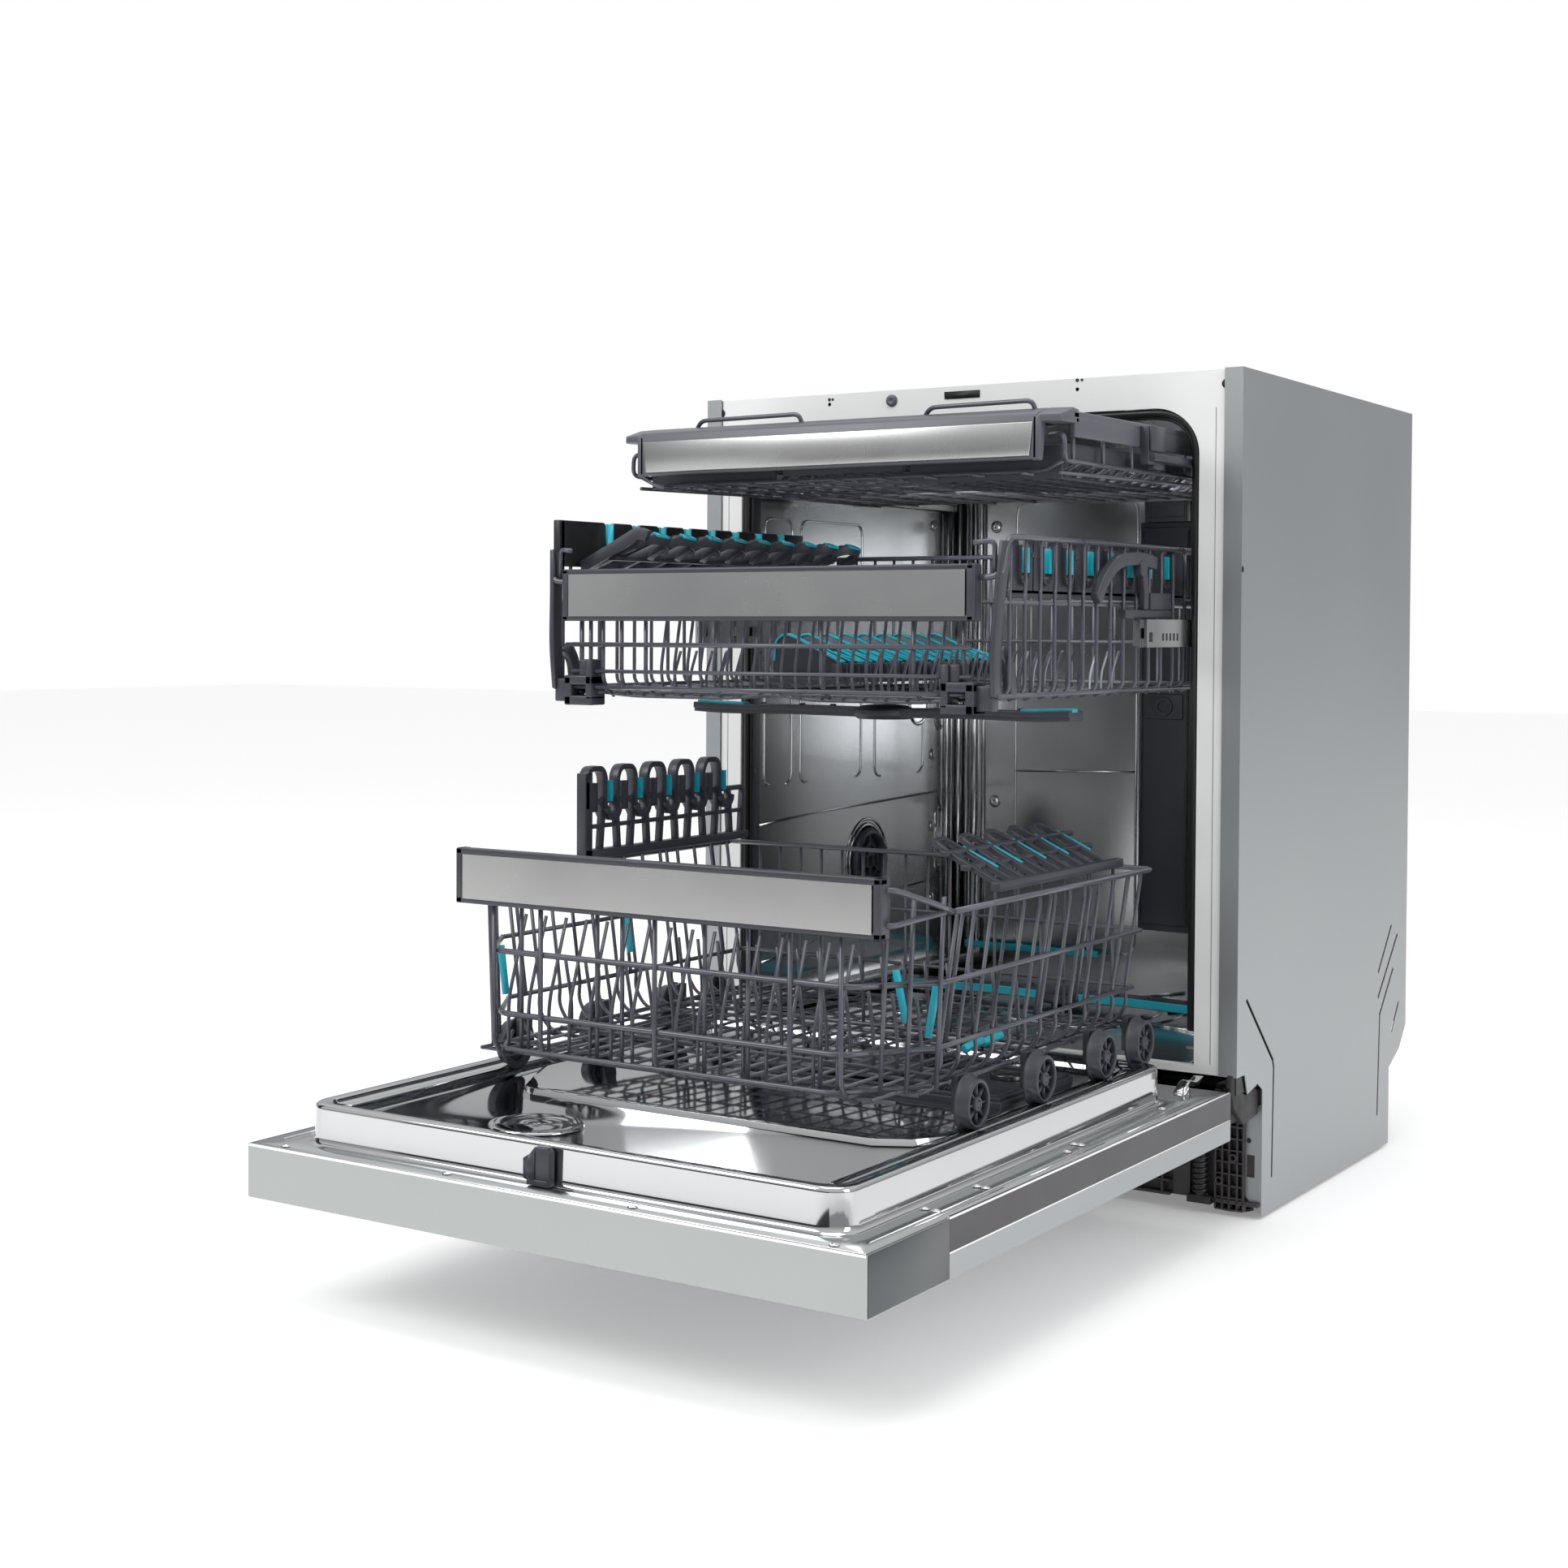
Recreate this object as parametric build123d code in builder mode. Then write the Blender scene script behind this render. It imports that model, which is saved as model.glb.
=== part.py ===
"""Built-in dishwasher, door open and all three racks pulled out, as separate pieces.

Millimetres, +Z up, floor at z = 0, the door side faces -Y. Places along Y are given from the cabinet's
front face and moved by front_y, so that the open machine is centred on the origin.
"""

import os
from math import atan2, cos, degrees, hypot, pi, sin

from build123d import *

# cabinet
width = 598.0
height = 827.0
depth = 550.0
sheet = 1.0
flange = 18.0
plinth_front = 72.0
plinth_back = 484.0
plinth_top = 150.0
base_low = 12.0

# tub
tub_wall = 1.0
tub_half = 262.0
tub_floor = 150.0
tub_roof = 803.0
tub_back = 536.0
tub_corner = 34.0
opening_half = 256.0
opening_top = 792.0
opening_bottom = 157.0
opening_corner = 46.0
frame_depth = 14.0
gasket_lip = 8.0

# door
hinge_y = -28.0
hinge_z = 112.0
hinge_pin = 4.0
door_length = 730.0
door_near = -10.0
door_half = 297.0
door_outer = 92.0
door_flange = 138.0
door_inner = 172.0
door_skin = 1.2
fascia_length = 128.0
plateau_near = -84.0
plateau_far = -700.0
plateau_half = 262.0
liner_sink = 4.0
floor_sink = 12.0
liner_rim = 14.0
liner_corner = 24.0

# racks
clear = 0.3
pin_gap = 0.05
wire = 4.0
fine_wire = 3.0
rack_in_y = 40.0
lower_front = -545.0
lower_depth = 490.0
lower_half = 236.0
lower_taper = 22.0
lower_corner = 74.0
lower_floor_z = 200.0
lower_top_z = 352.0
mid_front = -385.0
mid_runner_front = -107.0
mid_depth = 471.0
mid_half = 230.0
mid_floor_z = 516.0
mid_top_z = 628.0
tray_front = -265.0
tray_depth = 466.0
tray_half = 231.0
tray_floor_z = 722.0
tray_top_z = 772.0
wheel_radius = 21.0
wheel_width = 9.0
flange_radius = 24.5
flange_width = 3.0
wheel_pin = 3.0
wheel_x = 236.5
wheel_ys = (-436.0, -304.0, -170.0, -80.0)
plate_half = 204.0
plate_height = 40.0
rail_thick = 4.5
rail_height = 26.0
mid_rail_z = 574.0
tray_rail_z = 738.0

# spray arms, sump and pumps
arm_half = 205.0
arm_width = 44.0
arm_thick = 12.0
lower_arm_z = 186.0
sump_y = 285.0
sump_radius = 82.0
hose_x = 170.0
hose_z = 76.0

# the level that the lower rack's wheels run on, in the door and in the tub
track_z = door_inner - liner_sink
wheel_z = track_z + clear + wheel_radius
flange_x = wheel_x - wheel_width / 2 - flange_width / 2
track_x = wheel_x - wheel_width / 2 + 0.3
lower_back = lower_front + lower_depth
mid_back = mid_front + mid_depth
tray_back = tray_front + tray_depth

# where the front face of the cabinet lies, so that the open machine is centred
front_y = (door_length - depth) / 2

os.makedirs("parts", exist_ok=True)


def span(x0, x1, y0, y1, z0, z1, mode=Mode.ADD):
    """A box between two corners, with Y measured from the cabinet's front face."""
    middle = ((x0 + x1) / 2, front_y + (y0 + y1) / 2, (z0 + z1) / 2)
    with Locations(middle):
        Box(abs(x1 - x0), abs(y1 - y0), abs(z1 - z0), mode=mode)


def rod(start, end, radius, mode=Mode.ADD):
    """A round bar between two points."""
    a = Vector(start[0], front_y + start[1], start[2])
    b = Vector(end[0], front_y + end[1], end[2])
    with Locations(Location(Plane(origin=(a + b) / 2, z_dir=b - a))):
        Cylinder(radius, (b - a).length, mode=mode)


def bar(axis, centre, radius, length, mode=Mode.ADD):
    """A cylinder along X, Y or Z about its centre."""
    turn = {"x": (0, 90, 0), "y": (90, 0, 0), "z": (0, 0, 0)}[axis]
    with Locations(Location((centre[0], front_y + centre[1], centre[2]), turn)):
        Cylinder(radius, length, mode=mode)


def bars(axis, centres, radius, length, mode=Mode.ADD):
    """Parallel cylinders, joined in one step."""
    turn = {"x": (0, 90, 0), "y": (90, 0, 0), "z": (0, 0, 0)}[axis]
    with Locations([Location((x, front_y + y, z), turn) for x, y, z in centres]):
        Cylinder(radius, length, mode=mode)


def spread(first, last, count):
    """Evenly spaced values, both ends included."""
    return [first + (last - first) * i / (count - 1) for i in range(count)]


def window(half, low, high, corner, y0, y1, mode):
    """A block along Y with rounded corners, seen from the front."""
    with BuildSketch(Plane.XZ.offset(-(front_y + y1))) as face:
        with Locations((0, (low + high) / 2)):
            RectangleRounded(2 * half, high - low, corner)
    extrude(face.sketch, amount=y1 - y0, mode=mode)


def plate(corners, x0, thick, mode=Mode.ADD):
    """A flat plate square to X, from (y, z) corners, growing from x0 towards +X."""
    with BuildSketch(Plane.YZ.offset(x0)) as face:
        with BuildLine():
            Polyline([(front_y + y, z) for y, z in corners], close=True)
        make_face()
    extrude(face.sketch, amount=thick, mode=mode)


# ---------------------------------------------------------------- cabinet

with BuildPart() as tub_shell:
    window(tub_half, tub_floor, tub_roof, tub_corner, frame_depth, tub_back, Mode.ADD)
    with BuildSketch(Plane.XZ.offset(-(front_y + tub_back - tub_wall))):
        with Locations((0, (tub_floor + tub_roof) / 2)):
            RectangleRounded(
                2 * (tub_half - tub_wall),
                tub_roof - tub_floor - 2 * tub_wall,
                tub_corner - tub_wall,
            )
    extrude(amount=tub_back - tub_wall - frame_depth, mode=Mode.SUBTRACT)
    # ledges for the lower rack's wheels
    for side in (-1, 1):
        x_in = side * (tub_half - tub_wall / 2)
        span(x_in, side * track_x, 45, tub_back - tub_wall / 2, track_z - 3, track_z)
    # the sump's mouth
    bar("z", (0, sump_y, tub_floor), sump_radius, 10, Mode.SUBTRACT)
    # the feed duct's inlet and the fan's and port's holes
    bar("x", (-tub_half, 300, 300), 40, 10, Mode.SUBTRACT)

tub_shell.part.label = "tub_shell"
export_step(tub_shell.part, "parts/tub_shell.step")

with BuildPart() as front_frame:
    window(width / 2 - sheet - clear, plinth_top, height - sheet - clear, 2, 2, frame_depth - clear, Mode.ADD)
    window(opening_half, opening_bottom, opening_top, opening_corner, 0, frame_depth + 2, Mode.SUBTRACT)
    # square lower corners, for the wheels
    span(-opening_half, opening_half, 0, frame_depth + 2, opening_bottom, opening_bottom + 60, Mode.SUBTRACT)
    # the sheet is folded back along both edges and open behind
    with BuildSketch(Plane.XZ.offset(-(front_y + frame_depth))) as fold:
        with Locations((0, (plinth_top + height) / 2)):
            Rectangle(width - 6 * sheet, height - plinth_top - 6 * sheet)
        with Locations((0, (opening_bottom + opening_top) / 2)):
            RectangleRounded(
                2 * opening_half + 3 * sheet,
                opening_top - opening_bottom + 3 * sheet,
                opening_corner,
                mode=Mode.SUBTRACT,
            )
        with Locations((0, opening_bottom + 30 - 0.75 * sheet)):
            Rectangle(2 * opening_half + 3 * sheet, 60 + 1.5 * sheet, mode=Mode.SUBTRACT)
    extrude(fold.sketch, amount=frame_depth - 2 - 1.2, mode=Mode.SUBTRACT)
    # the door catch slot and the screw holes of the top beam
    span(-14, 26, 0, frame_depth, height - 14, height - 6, Mode.SUBTRACT)
    for x, r in ((-282, 2.5), (-148, 2), (131, 2), (282, 2.5)):
        bar("y", (x, frame_depth / 2, height - 12), r, 2 * frame_depth, Mode.SUBTRACT)

front_frame.part.label = "front_frame"
export_step(front_frame.part, "parts/front_frame.step")


def side_panel(side):
    """A folded sheet: the side with its notched foot, and a narrow flange along the front."""
    x_out = side * width / 2
    outline = [
        (0, height),
        (depth - 2, height - 4),
        (depth - 2, 128),
        (depth - 26, 104),
        (plinth_back + 2, 88),
        (plinth_back + 2, 3),
        (plinth_front, 3),
        (plinth_front, 128),
        (58, 136),
        (30, 130),
        (22, plinth_top),
        (0, plinth_top),
    ]
    plate(outline, x_out - (sheet if side > 0 else 0), sheet)
    span(x_out, x_out - side * flange, 0, sheet, plinth_top, height)
    # pressed slots low on the side
    slots = (
        ((26, 221), (101, 153), (104, 145), (101, 38)),
        ((489, 246), (444, 200)),
        ((512, 234), (444, 172)),
        ((497, 197), (450, 152), (444, 42)),
        ((519, 156), (495, 128)),
    )
    for path in slots:
        for (y0, z0), (y1, z1) in zip(path, path[1:]):
            mid = (x_out, front_y + (y0 + y1) / 2, (z0 + z1) / 2)
            lean = degrees(atan2(z1 - z0, y1 - y0))
            with Locations(Location(mid, (lean, 0, 0))):
                Box(4 * sheet, hypot(y1 - y0, z1 - z0) + 3, 4, mode=Mode.SUBTRACT)


with BuildPart() as side_panel_left:
    side_panel(-1)

side_panel_left.part.label = "side_panel_left"
export_step(side_panel_left.part, "parts/side_panel_left.step")

with BuildPart() as side_panel_right:
    side_panel(1)

side_panel_right.part.label = "side_panel_right"
export_step(side_panel_right.part, "parts/side_panel_right.step")

with BuildPart() as rear_panel:
    inner = width / 2 - sheet - clear
    span(-inner, inner, depth - sheet, depth, 130, height - 5)
    span(-inner, inner, tub_back + clear, depth, height - 5, height - 5 + sheet)

rear_panel.part.label = "rear_panel"
export_step(rear_panel.part, "parts/rear_panel.step")

with BuildPart() as top_cover:
    inner = width / 2 - sheet - clear
    span(-inner, inner, frame_depth + clear, tub_back, height - 6, height - 5)

top_cover.part.label = "top_cover"
export_step(top_cover.part, "parts/top_cover.step")

with BuildPart() as base_pan:
    inner = width / 2 - sheet - clear
    span(-inner, inner, plinth_front + 3, plinth_back, base_low, 100)
    span(-inner + 10, inner - 10, plinth_front + 13, plinth_back - 10, base_low + 4, 101, Mode.SUBTRACT)
    # ribs across the floor and behind the plinth face
    for x in spread(-240, 240, 9):
        span(x - 1.5, x + 1.5, plinth_front + 12, plinth_back - 9, base_low + 3, 46)
    for side in (-1, 1):
        span(side * inner, side * (inner - 46), plinth_front + 3, 60 + plinth_front, base_low, plinth_top - 22)
        span(side * inner, side * (inner - 30), 60 + plinth_front, plinth_back, 96, tub_floor - clear)
    for side in (-1, 1):
        bar("z", (side * 262, plinth_front + 30, 20), 6.5, 60, Mode.SUBTRACT)
    bar("z", (0, plinth_back - 22, 20), 6.5, 60, Mode.SUBTRACT)
    # the hoses' ways out at the back
    bar("y", (hose_x, plinth_back, hose_z), 19.5, 40, Mode.SUBTRACT)
    bar("y", (-230, plinth_back, hose_z), 20 + clear, 40, Mode.SUBTRACT)

base_pan.part.label = "base_pan"
export_step(base_pan.part, "parts/base_pan.step")

with BuildPart() as feet:
    for x, y in ((-262, plinth_front + 30), (262, plinth_front + 30), (0, plinth_back - 22)):
        bar("z", (x, y, 3), 20, 6)
        bar("z", (x, y, 25), 6.2, 38)

feet.part.label = "feet"
export_step(feet.part, "parts/feet.step")

with BuildPart() as plinth_brackets:
    for side in (-1, 1):
        x_out = side * (width / 2 - sheet - clear)
        with BuildSketch(Plane.XZ.offset(-(front_y + plinth_front + 3 - clear))) as face:
            with BuildLine():
                Polyline(
                    (x_out, 6), (x_out - side * 4, 6), (x_out - side * 17, 24), (x_out - side * 17, 92),
                    (x_out - side * 2, 112), (x_out, 112),
                    close=True,
                )
            make_face()
        extrude(face.sketch, amount=2 - clear)
        span(x_out - side * 6, x_out - side * 14, plinth_front - 3, plinth_front + 6, 40, 62, Mode.SUBTRACT)
        bar("y", (x_out - side * 12, plinth_front + 1, 76), 2.6, 12, Mode.SUBTRACT)

plinth_brackets.part.label = "plinth_brackets"
export_step(plinth_brackets.part, "parts/plinth_brackets.step")

with BuildPart() as hinge_brackets:
    for side in (-1, 1):
        x0 = side * (door_half - 16)
        x1 = side * (door_half - 19)
        arm = [
            (hinge_y - 9, hinge_z + 8),
            (hinge_y - 9, hinge_z - 8),
            (30, hinge_z - 14),
            (plinth_front + 1 - clear, hinge_z - 14),
            (plinth_front + 1 - clear, hinge_z + 22),
            (20, hinge_z + 22),
        ]
        plate(arm, min(x0, x1), 3)
        bar("x", (side * (door_half - 13.5), hinge_y, hinge_z), hinge_pin, 10)

hinge_brackets.part.label = "hinge_brackets"
export_step(hinge_brackets.part, "parts/hinge_brackets.step")

with BuildPart() as tub_gasket:
    window(opening_half - clear, opening_bottom + clear, opening_top - clear, opening_corner, 4, 12, Mode.ADD)
    lip = gasket_lip
    window(opening_half - lip, opening_bottom - 20, opening_top - lip, opening_corner - lip, 0, 20, Mode.SUBTRACT)
    span(-300, 300, 0, 20, 100, opening_bottom + 30, Mode.SUBTRACT)

tub_gasket.part.label = "tub_gasket"
export_step(tub_gasket.part, "parts/tub_gasket.step")

# ---------------------------------------------------------------- inside the tub

duct_x = 20.0
duct_half = 32.0
duct_front = tub_back - tub_wall - 14

with BuildPart() as feed_duct:
    span(duct_x - duct_half, duct_x + duct_half, duct_front, tub_back - tub_wall - clear, 214, 770)
    span(duct_x - 24, duct_x + 24, duct_front - 4, duct_front + 4, 470, 500)
    bar("y", (duct_x, duct_front, 485), 10, 20, Mode.SUBTRACT)
    span(duct_x - 4, duct_x + 4, duct_front - 2, duct_front + 2, 230, 460)

feed_duct.part.label = "feed_duct"
export_step(feed_duct.part, "parts/feed_duct.step")

with BuildPart() as ceiling_lamps:
    for x in (-175, 175):
        bar("z", (x, 44, tub_roof - tub_wall - clear - 4), 18, 8)

ceiling_lamps.part.label = "ceiling_lamps"
export_step(ceiling_lamps.part, "parts/ceiling_lamps.step")

with BuildPart() as fan_vent:
    bar("x", (-tub_half - 4, 300, 300), 39, 24)
    bar("x", (-tub_half + 6, 300, 300), 31, 10, Mode.SUBTRACT)
    for turn in range(6):
        angle = turn * pi / 3
        tip = (300 + 32 * cos(angle), 300 + 32 * sin(angle))
        rod((-tub_half + 4, 300, 300), (-tub_half + 4, *tip), 2)

fan_vent.part.label = "fan_vent"
export_step(fan_vent.part, "parts/fan_vent.step")

with BuildPart() as sump:
    bar("z", (0, sump_y, 102), sump_radius - clear, 92)
    bar("z", (0, sump_y, 112), sump_radius - 4, 80, Mode.SUBTRACT)
    bar("z", (0, sump_y, 100), 14, 84)
    bar("z", (0, sump_y, 110), 6 + pin_gap, 84, Mode.SUBTRACT)

sump.part.label = "sump"
export_step(sump.part, "parts/sump.step")

with BuildPart() as filter_plate:
    seat = tub_floor + tub_wall + clear
    bar("z", (0, sump_y, seat + 1), sump_radius + 12, 2)
    bar("z", (0, sump_y, seat - 10), sump_radius - 6, 20)
    bar("z", (0, sump_y, seat - 12), sump_radius - 9, 20, Mode.SUBTRACT)
    bar("z", (0, sump_y, 145), 16, 40, Mode.SUBTRACT)

filter_plate.part.label = "filter_plate"
export_step(filter_plate.part, "parts/filter_plate.step")

with BuildPart() as circulation_pump:
    bar("y", (-150, 290, 76), 26, 150)
    bar("x", (-110, 290, 76), 15, 40)

circulation_pump.part.label = "circulation_pump"
export_step(circulation_pump.part, "parts/circulation_pump.step")

with BuildPart() as drain_pump:
    bar("x", (hose_x - 20, 330, hose_z), 24, 90)
    bar("y", (hose_x, plinth_back - 45, hose_z), 9, 190)
    bar("y", (hose_x, 352, hose_z), 13, 16)

drain_pump.part.label = "drain_pump"
export_step(drain_pump.part, "parts/drain_pump.step")

with BuildPart() as inlet_valve:
    bar("y", (-230, plinth_back - 60, 76), 13.2, 196)
    bar("y", (-230, plinth_back - 40, 76), 20, 70)

inlet_valve.part.label = "inlet_valve"
export_step(inlet_valve.part, "parts/inlet_valve.step")

with BuildPart() as counterweight:
    span(-130, 130, plinth_back - 80, plinth_back - 42, 50, 98)

counterweight.part.label = "counterweight"
export_step(counterweight.part, "parts/counterweight.step")


def rail(side, x_out, z, y0, y1):
    """One flat member of a drawer rail, with its groove facing the middle of the tub."""
    x_in = x_out - side * rail_thick
    span(side * abs(x_out), x_in, y0, y1, z - rail_height / 2, z + rail_height / 2)
    span(x_in - side, x_in + side * 2, y0 - 1, y1 + 1, z - 5, z + 5, Mode.SUBTRACT)


rail_x = opening_half - gasket_lip + rail_thick - clear

with BuildPart() as rack_rails:
    for side in (-1, 1):
        rail(side, side * rail_x, mid_rail_z, 42, 510)
        rail(side, side * rail_x, tray_rail_z, 42, 510)
        for y in (70, 270, 470):
            for z in (mid_rail_z, tray_rail_z):
                span(side * rail_x, side * (tub_half - tub_wall - clear), y, y + 20, z - 9, z + 9)

rack_rails.part.label = "rack_rails"
export_step(rack_rails.part, "parts/rack_rails.step")

with BuildPart() as rail_slides:
    for side in (-1, 1):
        rail(side, side * (rail_x - rail_thick - clear), mid_rail_z, mid_runner_front + 3, 300)

rail_slides.part.label = "rail_slides"
export_step(rail_slides.part, "parts/rail_slides.step")


def spray_arm(x, y, z, stem):
    """A flat arm with rounded ends, a hub and a row of jet holes."""
    with BuildSketch(Plane.XY.offset(z)) as outline:
        with Locations((x, front_y + y)):
            SlotOverall(2 * arm_half, arm_width)
    extrude(outline.sketch, amount=arm_thick)
    bar("z", (x, y, z + arm_thick / 2), 30, arm_thick + 4)
    bars("z", [(x + d, y + 6, z + 6) for d in (-180, -140, -95, -60, 60, 95, 140, 180)], 2, 30, Mode.SUBTRACT)
    if stem > 0:
        bar("z", (x, y, z - stem / 2), 6, stem)
    else:
        bar("z", (x, y, z + arm_thick - stem / 2), 6, -stem)


with BuildPart() as lower_spray_arm:
    spray_arm(0, sump_y, 158, 60)

lower_spray_arm.part.label = "lower_spray_arm"
export_step(lower_spray_arm.part, "parts/lower_spray_arm.step")

# ---------------------------------------------------------------- door

liner_half = door_half - 3 - clear
plateau_mid = (plateau_near + plateau_far) / 2
plateau_long = plateau_near - plateau_far


def liner_step(half, length, corner, low, high, mode):
    """A rounded block standing on the door liner."""
    with BuildSketch(Plane.XY.offset(low)) as outline:
        with Locations((0, front_y + plateau_mid)):
            RectangleRounded(2 * half, length, corner)
    extrude(outline.sketch, amount=high - low, mode=mode)


with BuildPart() as door_liner:
    span(-liner_half, liner_half, -door_length + 2, door_near - 2, door_flange - door_skin, door_flange)
    liner_step(plateau_half, plateau_long, liner_corner, door_flange, door_inner, Mode.ADD)
    floor_z = door_inner - floor_sink
    liner_step(
        plateau_half - door_skin, plateau_long - 2 * door_skin, liner_corner - door_skin, 100,
        floor_z - door_skin, Mode.SUBTRACT,
    )
    rim = 2 * liner_rim
    liner_step(plateau_half - liner_rim, plateau_long - rim, 20, track_z, door_inner + 5, Mode.SUBTRACT)
    liner_step(track_x, plateau_long - rim, 12, floor_z, door_inner, Mode.SUBTRACT)
    # notches for the hinge brackets
    for side in (-1, 1):
        span(side * 270, side * (door_half + 5), -66, 0, 100, 150, Mode.SUBTRACT)
        # the wheels' way over the near rim
        x_in = side * (flange_x - 3)
        span(x_in, side * (wheel_x + wheel_width), -130, plateau_near + 5, track_z, 190, Mode.SUBTRACT)
        span(x_in, side * track_x, -130, plateau_near + 5, floor_z, 190, Mode.SUBTRACT)
    # the dispenser's opening
    span(10, 212, -332, -188, 140, 180, Mode.SUBTRACT)
    # the round dish pressed into the middle
    bar("z", (-82, -608, floor_z), 36, 1, Mode.SUBTRACT)

door_liner.part.label = "door_liner"
export_step(door_liner.part, "parts/door_liner.step")

panel_far = -door_length + fascia_length

with BuildPart() as door_panel:
    span(-door_half, door_half, panel_far + clear, door_near, door_outer, door_outer + 1)
    for side in (-1, 1):
        span(side * door_half, side * (door_half - 1), panel_far + clear, door_near, door_outer, door_outer + 20)
        span(side * 270, side * (door_half - 5), -66, 0, 80, 150, Mode.SUBTRACT)
    # fixing holes for a furniture front
    for x in (-240, 240):
        for y in (-140, -460):
            bar("z", (x, y, door_outer), 2.1, 10, Mode.SUBTRACT)

door_panel.part.label = "door_panel"
export_step(door_panel.part, "parts/door_panel.step")

with BuildPart() as door_side_trims:
    for side in (-1, 1):
        x_out = side * door_half
        low = door_outer + 20 + clear
        span(x_out, x_out - side * 2.5, panel_far + clear, door_near, low, door_flange)
        span(
            x_out - side * 1.3, x_out - side * 3, panel_far + 2, door_near, door_outer + 1 + clear, low + 2
        )

door_side_trims.part.label = "door_side_trims"
export_step(door_side_trims.part, "parts/door_side_trims.step")

with BuildPart() as fascia:
    span(-door_half, door_half, -door_length, panel_far, door_outer, door_flange)
    span(
        -door_half + 2, door_half - 2, -door_length + 1.5, panel_far + 1, door_outer + 2, door_flange + 1,
        Mode.SUBTRACT,
    )
    for x in (-200, 200):
        bar("z", (x, -670, door_outer), 9 + clear, 10, Mode.SUBTRACT)

fascia.part.label = "fascia"
export_step(fascia.part, "parts/fascia.step")


def push_button(x):
    """A round button through the fascia, with a collar behind it."""
    bar("z", (x, -670, door_outer + 2), 9, 8)
    bar("z", (x, -670, door_outer + 2 + clear + 1), 12, 2)


with BuildPart() as power_button:
    push_button(-200)

power_button.part.label = "power_button"
export_step(power_button.part, "parts/power_button.step")

with BuildPart() as start_button:
    push_button(200)

start_button.part.label = "start_button"
export_step(start_button.part, "parts/start_button.step")

with BuildPart() as door_latch:
    span(-18, 6, plateau_far - 9, plateau_far - clear, door_flange + clear, door_inner - 2)
    span(-20, -6, plateau_far - 12, plateau_far - 4, door_flange + 6, door_inner - 8)

door_latch.part.label = "door_latch"
export_step(door_latch.part, "parts/door_latch.step")

with BuildPart() as dispenser_body:
    span(10 + clear, 212 - clear, -332 + clear, -188 - clear, 142, track_z + 2)
    span(26, 96, -318, -202, 152, track_z + 3, Mode.SUBTRACT)
    bar("z", (172, -232, track_z), 17, 22, Mode.SUBTRACT)

dispenser_body.part.label = "dispenser_body"
export_step(dispenser_body.part, "parts/dispenser_body.step")

with BuildPart() as dispenser_lid:
    span(20, 100, -324, -196, track_z + 2 + clear, track_z + 5)

dispenser_lid.part.label = "dispenser_lid"
export_step(dispenser_lid.part, "parts/dispenser_lid.step")

with BuildPart() as rinse_cap:
    bar("z", (172, -232, track_z + 2), 16.95, 8)
    span(157, 187, -234, -230, track_z + 5, track_z + 9)

rinse_cap.part.label = "rinse_cap"
export_step(rinse_cap.part, "parts/rinse_cap.step")

with BuildPart() as hinge_arms:
    for side in (-1, 1):
        x0 = side * (door_half - 10)
        x1 = side * (door_half - 13)
        arm = [
            (hinge_y + 10, hinge_z - 10),
            (hinge_y + 10, hinge_z + 10),
            (-70, hinge_z + 22),
            (-240, hinge_z + 22),
            (-240, hinge_z - 10),
        ]
        plate(arm, min(x0, x1), 3)
        bar("x", (side * (door_half - 11.5), hinge_y, hinge_z), hinge_pin + pin_gap, 12, Mode.SUBTRACT)

hinge_arms.part.label = "hinge_arms"
export_step(hinge_arms.part, "parts/hinge_arms.step")

# ---------------------------------------------------------------- racks


def floor_grid(half, y0, y1, z, thick, long_count, cross_count):
    """A grid of wires lying flat: the long ones above the cross ones, sunk in where they are welded."""
    r = thick / 2
    bars("y", [(x, (y0 + y1) / 2, z) for x in spread(-half + 12, half - 12, long_count)], r, y1 - y0 - 8)
    bars("x", [(0, y, z - 0.6 * thick) for y in spread(y0 + 16, y1 - 16, cross_count)], r, 2 * half - 8)


def side_grid(side, half, y0, y1, low, high, thick, levels, count, taper=0):
    """A side of a basket: rails from front to back, with uprights welded inside them; narrower at the foot."""
    r = thick / 2
    x = half - r
    bars("y", [(side * (x - taper * (high - z) / (high - low)), (y0 + y1) / 2, z) for z in levels], r, y1 - y0 - 12)
    x -= 0.6 * thick
    for y in spread(y0 + 20, y1 - 20, count):
        rod((side * (x - taper), y, low), (side * x, y, high), r)


def end_grid(half, y, inward, low, high, thick, levels, count):
    """A front or back of a basket: rails from side to side, with uprights welded inside them."""
    r = thick / 2
    bars("x", [(0, y, z) for z in levels], r, 2 * half - 12)
    xs = spread(-half + 20, half - 20, count)
    bars("z", [(x, y + inward * 0.6 * thick, (low + high) / 2) for x in xs], r, high - low)


lower_foot = lower_half - lower_taper
lower_levels = (202.0, 237.0, 292.0, lower_top_z - wire / 2)

with BuildPart() as lower_floor:
    floor_grid(lower_foot + 1, lower_front + 8, lower_back - 8, lower_floor_z, wire, 10, 8)

lower_floor.part.label = "lower_floor"
export_step(lower_floor.part, "parts/lower_floor.step")

with BuildPart() as lower_sides:
    for side in (-1, 1):
        near = lower_front + lower_corner
        side_grid(
            side, lower_half, near, lower_back - 4, lower_floor_z, lower_top_z, wire, lower_levels, 7, lower_taper
        )

lower_sides.part.label = "lower_sides"
export_step(lower_sides.part, "parts/lower_sides.step")

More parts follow.
